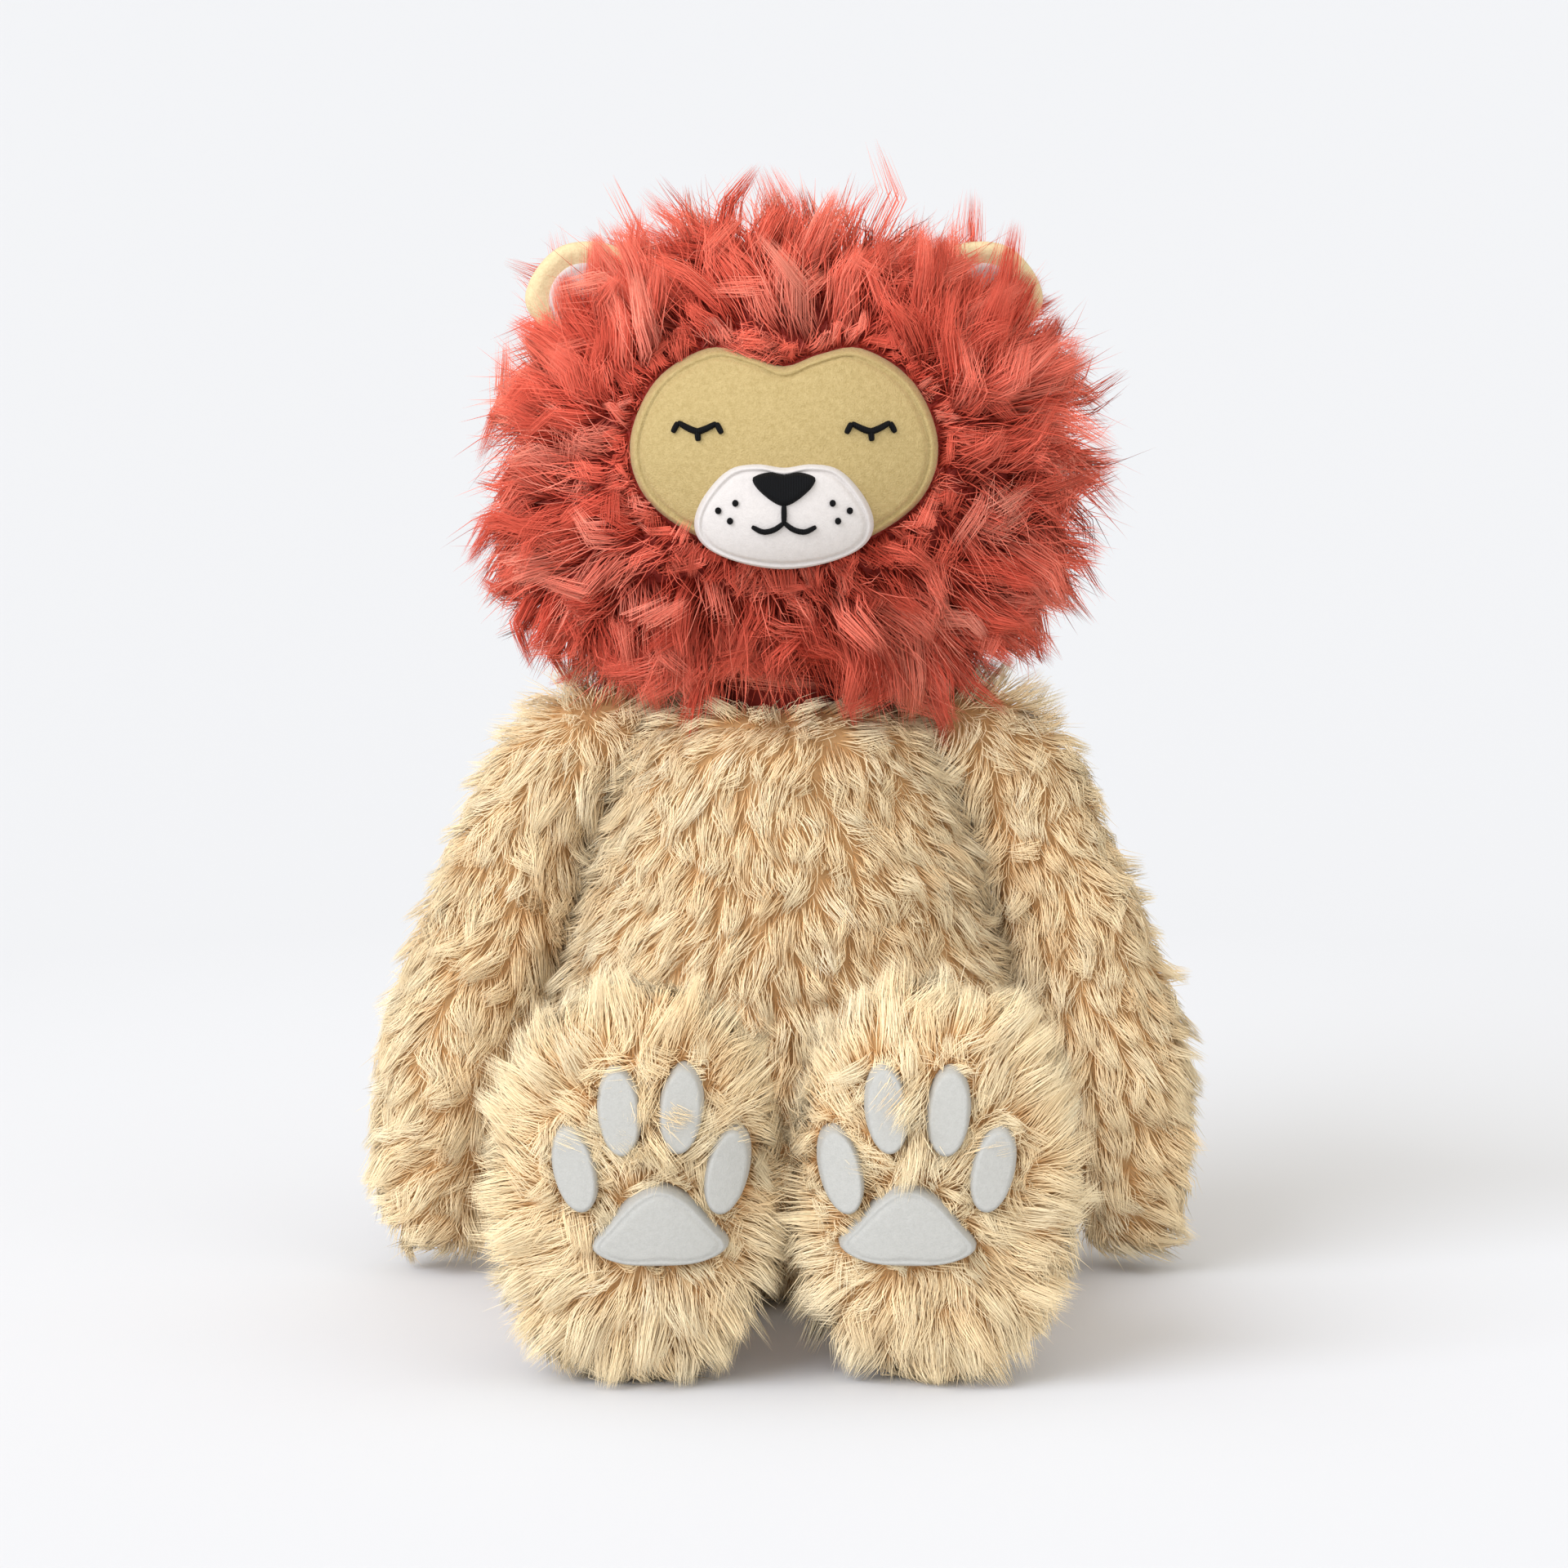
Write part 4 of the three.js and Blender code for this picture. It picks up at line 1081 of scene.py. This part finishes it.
def arm_flow(way):
    def flow(roots, normals):
        x, y, z = roots.T
        hand = soft_step(-z, -75, -30)
        run = np.stack([way * (0.35 + 0.6 * hand), np.full_like(x, -0.15), np.full_like(x, -1)], 1)
        root = soft_step(-way * x, -58, -42)[:, None]
        run = run * (1 - root) + np.array([-way, 0, 0.2]) * root
        lie = along(run + 0.6 * swirl(roots, 60), normals)
        inside = soft_step(-way * normals[:, 0], 0.6, 0.95)[:, None]
        high = soft_step(z, 150, 172)[:, None]
        start = unit(normals * (0.7 + 0.3 * inside + 0.6 * high) + lie * 0.8)
        end = unit(normals * (0.1 + 0.25 * inside + 0.9 * high) + lie)
        return start, end, pile.arm + 3 * high[:, 0]
    return flow


def arm_keep(roots, normals):
    """Fur all over an arm, thinner behind and none under the hand."""
    x, y, z = roots.T
    return np.where(y < 6, 1, 0.55) * (z > 1)


def add_arms():
    for name, way in sides.items():
        bm = arm_shape(way)
        surface = surface_of(bm)
        body = f"{name}_arm"
        add_form(f"{name}_arm_form", bm, body_backing_with_painted_shade, body, [f"{name}_arm_stuffing"])
        fur = strands(surface, arm_coat, dense.arm, arm_flow(way), arm_keep, 51 + way)
        add_fur(f"{name}_arm_fur", fur, arm_coat, body_fur, body, "body_fur", [f"{name}_arm_cover"])


def leg_flow(roots, normals):
    x = roots[:, 0]
    lie = along(np.stack([np.zeros_like(x), np.full_like(x, -1), np.full_like(x, -0.6)], 1), normals)
    return unit(normals * 0.7 + lie * 0.7), unit(normals * 0.15 + lie), np.full(len(x), pile.leg)


def leg_keep(roots, normals):
    x, y, z = roots.T
    return ((y > foot_y + 14) & (y < hip_y + 18)).astype(float)


def foot_flow(way):
    def flow(roots, normals):
        x, y, z = roots.T
        across = x - way * (foot_x - main_pad_x / 2)
        up = z - 52
        run = np.stack([across, np.full_like(x, 6), up], 1)
        front = soft_step(-(y - foot_y), -6, 8)[:, None]
        lie = along(unit(run) + 0.4 * swirl(roots, 50), normals)
        start = unit(normals * (0.7 - 0.1 * front) + lie * 0.8)
        end = unit(normals * 0.03 + lie + np.array([0, 0, -0.2]))
        return start, end, pile.foot + 2 * front[:, 0]
    return flow


def on_pads(way, roots, grow):
    x, y, z = roots.T
    inside = reach_in(main_pad_outline(way, grow), x, z) < 1
    for toe in toe_pads:
        inside |= reach_in(toe_pad_outline(way, toe, grow), x, z) < 1
    return inside & (y < foot_y)


def pad_rim_flow(way):
    """Strands between and around the pads: some lie over their edges, and a tuft hangs between the toes."""
    middle = np.mean([toe[0] for toe in toe_pads[1:3]])
    def flow(roots, normals):
        x, y, z = roots.T
        tuft = soft_step(-np.abs(x - way * (foot_x - middle)), -7, -4) * soft_step(z, 62, 70)
        tuft = tuft[:, None]
        lie = along(np.array([0, 0, -0.4]) + swirl(roots, 24) * (1 - 0.7 * tuft), normals)
        start = unit(normals * (1.2 - 0.3 * tuft) + 0.5 * lie)
        return start, unit(normals * 0.35 + lie), pile.pad_rim + 12 * tuft[:, 0]
    return flow


def pad_rim_keep(way):
    def keep(roots, normals):
        return (on_pads(way, roots, 3.5) & ~on_pads(way, roots, -0.6)).astype(float)
    return keep


def foot_keep(way):
    def keep(roots, normals):
        x, y, z = roots.T
        stay = np.ones(len(roots))
        stay[on_pads(way, roots, 0.2)] = 0
        ankle = np.hypot(x - way * hip_x, z - 33) < leg_radius - leg_pile - 2
        stay[(y > foot_y + 6) & ankle] = 0
        return stay
    return keep


def add_legs():
    for name, way in sides.items():
        body = f"{name}_leg"
        bm = leg_shape(way)
        surface = surface_of(bm)
        add_form(f"{name}_leg_form", bm, body_backing_with_painted_shade, body, [f"{name}_leg_stuffing"])
        fur = strands(surface, back_coat, dense.leg, leg_flow, leg_keep, 61 + way)
        add_fur(f"{name}_leg_fur", fur, back_coat, body_fur, body, "body_fur", [f"{name}_leg_cover"])
        bm = foot_shape(way)
        surface = surface_of(bm)
        add_form(f"{name}_foot_form", bm, body_backing_with_painted_shade, body, [f"{name}_foot_stuffing"])
        fur = joined([
            strands(surface, foot_coat, dense.foot, foot_flow(way), foot_keep(way), 71 + way),
            strands(surface, foot_coat, dense.pad_rim, pad_rim_flow(way), pad_rim_keep(way), 74 + way),
        ])
        add_fur(f"{name}_foot_fur", fur, foot_coat, body_fur, body, "body_fur", [f"{name}_foot_cover"])
        add_pads(name, way)


def add_pads(name, way):
    """Velour pads on the sole, raised to the height of the pile that they sit in."""
    low = lambda x, z: foot_front(way, x, z, -foot_pile)
    high = lambda x, z: foot_front(way, x, z, pad_height)
    body = f"{name}_leg"
    bm = flat_pad(main_pad_outline(way), low, high, edge=2, groove=2.4, groove_depth=0.5)
    add_form(f"{name}_sole_pad", bm, pad_velour, body, [f"{name}_main_pad"])
    for i, toe in enumerate(toe_pads):
        bm = flat_pad(toe_pad_outline(way, toe), low, high, edge=1.6, rings=16)
        add_form(f"{name}_toe_velour_{i + 1}", bm, pad_velour, body,
                 [f"{name}_toe_pad_{i + 1}"])


def tail_flow(roots, normals):
    line = tail_line()
    near = np.argmin(np.linalg.norm(roots[:, None] - line[None], axis=2), axis=1)
    way = unit(np.gradient(line, axis=0))[near]
    lie = along(way, normals)
    return unit(normals * 0.5 + lie), unit(normals * 0.1 + lie), np.full(len(roots), pile.tail)


def tuft_flow(roots, normals):
    way = np.array([0.75, 0.66, 0])
    return unit(normals * 0.55 + way), unit(normals * 0.1 + way), np.full(len(roots), pile.tuft)


def add_tail():
    line = tail_line()
    across = np.cross(unit(np.gradient(line, axis=0)), [0, 0, 1])
    inner = [tail_radius - 2] * 2
    bm = stuffed_limb(line, unit(across), inner, inner, blunt=0.3, segments=20, rings=40)
    surface = surface_of(bm)
    add_form("tail_form", bm, body_backing_with_painted_shade, "tail")
    fur = strands(surface, body_coat, dense.tail, tail_flow, everywhere, 91)
    add_fur("tail_fur", fur, body_coat, body_fur, "tail", "body_fur", ["tail"])
    way = unit(line[-1] - line[-4])
    core = stuffed_limb(
        [line[-1] - way * 3, line[-1] + way * tuft_length * 0.6], np.cross(way, [0, 0, 1]),
        [tuft_radius * 0.45] * 2, [tuft_radius * 0.45] * 2, segments=20, rings=20,
    )
    surface = surface_of(core)
    add_form("tail_tuft_form", core, mane_backing_with_painted_shade, "tail")
    fur = strands(surface, mane_coat, dense.tuft, tuft_flow, everywhere, 92)
    add_fur("tail_tuft_fur", fur, mane_coat, mane_fur, "tail", "mane_fur", ["tail_tuft"])


# Camera, light and floor


def add_camera():
    data = bpy.data.cameras.new("camera")
    data.lens = view_lens
    data.sensor_width = view_sensor
    camera = bpy.data.objects.new("camera", data)
    put_in_scene(camera)
    back = Vector((0, -math.cos(view_elevation), math.sin(view_elevation)))
    camera.location = view_centre + back * view_distance
    camera.rotation_euler = (-back).to_track_quat("-Z", "Y").to_euler()
    data.clip_end = 100
    bpy.context.scene.camera = camera


def add_sun(name, toward, strength, spread):
    data = bpy.data.lights.new(name, "SUN")
    data.energy = strength
    data.color = cool_light
    data.angle = math.radians(spread)
    lamp = bpy.data.objects.new(name, data)
    lamp.rotation_euler = Vector(toward).to_track_quat("-Z", "Y").to_euler()
    put_in_scene(lamp)


def add_studio():
    """Broad lights, warm light from all sides for the toy, and a pale backdrop for the camera."""
    add_sun("key", (0.78, 0.72, -0.7), 2.2, 45)
    add_sun("fill", (-0.7, 0.6, -0.35), 0.4, 60)
    add_sun("front", (0.1, 1, -0.2), 0.5, 40)
    world = bpy.data.worlds.new("studio")
    world.use_nodes = True
    nodes, links = world.node_tree.nodes, world.node_tree.links
    sky = nodes["Background"]
    sky.inputs["Color"].default_value = (*warm_light, 1)
    sky.inputs["Strength"].default_value = 0.9
    seen = nodes.new("ShaderNodeBackground")
    seen.inputs["Color"].default_value = linear(backdrop_pale)
    seen.inputs["Strength"].default_value = 1
    mix = nodes.new("ShaderNodeMixShader")
    links.new(seen_directly(nodes, links), mix.inputs[0])
    links.new(sky.outputs[0], mix.inputs[1])
    links.new(seen.outputs[0], mix.inputs[2])
    links.new(mix.outputs[0], nodes["World Output"].inputs["Surface"])
    bpy.context.scene.world = world


def add_floor():
    """A pale floor, painted lighter near the toy as a painted pool of light against the shade that the toy
    throws around it, and darker slowly away from it.
    """
    bm = bmesh.new()
    bmesh.ops.create_grid(bm, x_segments=2, y_segments=2, size=40)
    mesh = bpy.data.meshes.new("floor")
    bm.to_mesh(mesh)
    bm.free()
    floor = bpy.data.objects.new("floor", mesh)
    material, nodes, links, shader = new_material("floor")
    place = nodes.new("ShaderNodeTexCoord").outputs["Object"]
    shrink = nodes.new("ShaderNodeVectorMath")
    shrink.operation = "SCALE"
    shrink.inputs["Scale"].default_value = 1 / floor_reach
    links.new(place, shrink.inputs[0])
    away = nodes.new("ShaderNodeVectorMath")
    away.operation = "LENGTH"
    links.new(shrink.outputs["Vector"], away.inputs[0])
    # Painted light: the floor is paler near the toy than far off.
    pale = ramp_node(nodes, [(0.2, floor_painted_light_near), (0.9, floor_far)])
    links.new(away.outputs["Value"], pale.inputs["Fac"])
    links.new(pale.outputs["Color"], shader.inputs["Base Color"])
    set_inputs(shader, {"Roughness": 0.9, "Specular IOR Level": 0.1})
    mesh.materials.append(material)
    put_in_scene(floor)


def seen_directly(nodes, links):
    """1 for what the camera sees straight, in a mirror or through glass."""
    path = nodes.new("ShaderNodeLightPath")
    glossy = math_node(nodes, "MAXIMUM")
    links.new(path.outputs["Is Camera Ray"], glossy.inputs[0])
    links.new(path.outputs["Is Glossy Ray"], glossy.inputs[1])
    clear = math_node(nodes, "MAXIMUM")
    links.new(glossy.outputs[0], clear.inputs[0])
    links.new(path.outputs["Is Transmission Ray"], clear.inputs[1])
    return clear.outputs[0]


add_camera()
add_head()
add_face()
add_stitching()
add_ears()
add_torso()
add_arms()
add_legs()
add_tail()
add_studio()
add_floor()
bpy.context.scene.view_settings.view_transform = "Standard"
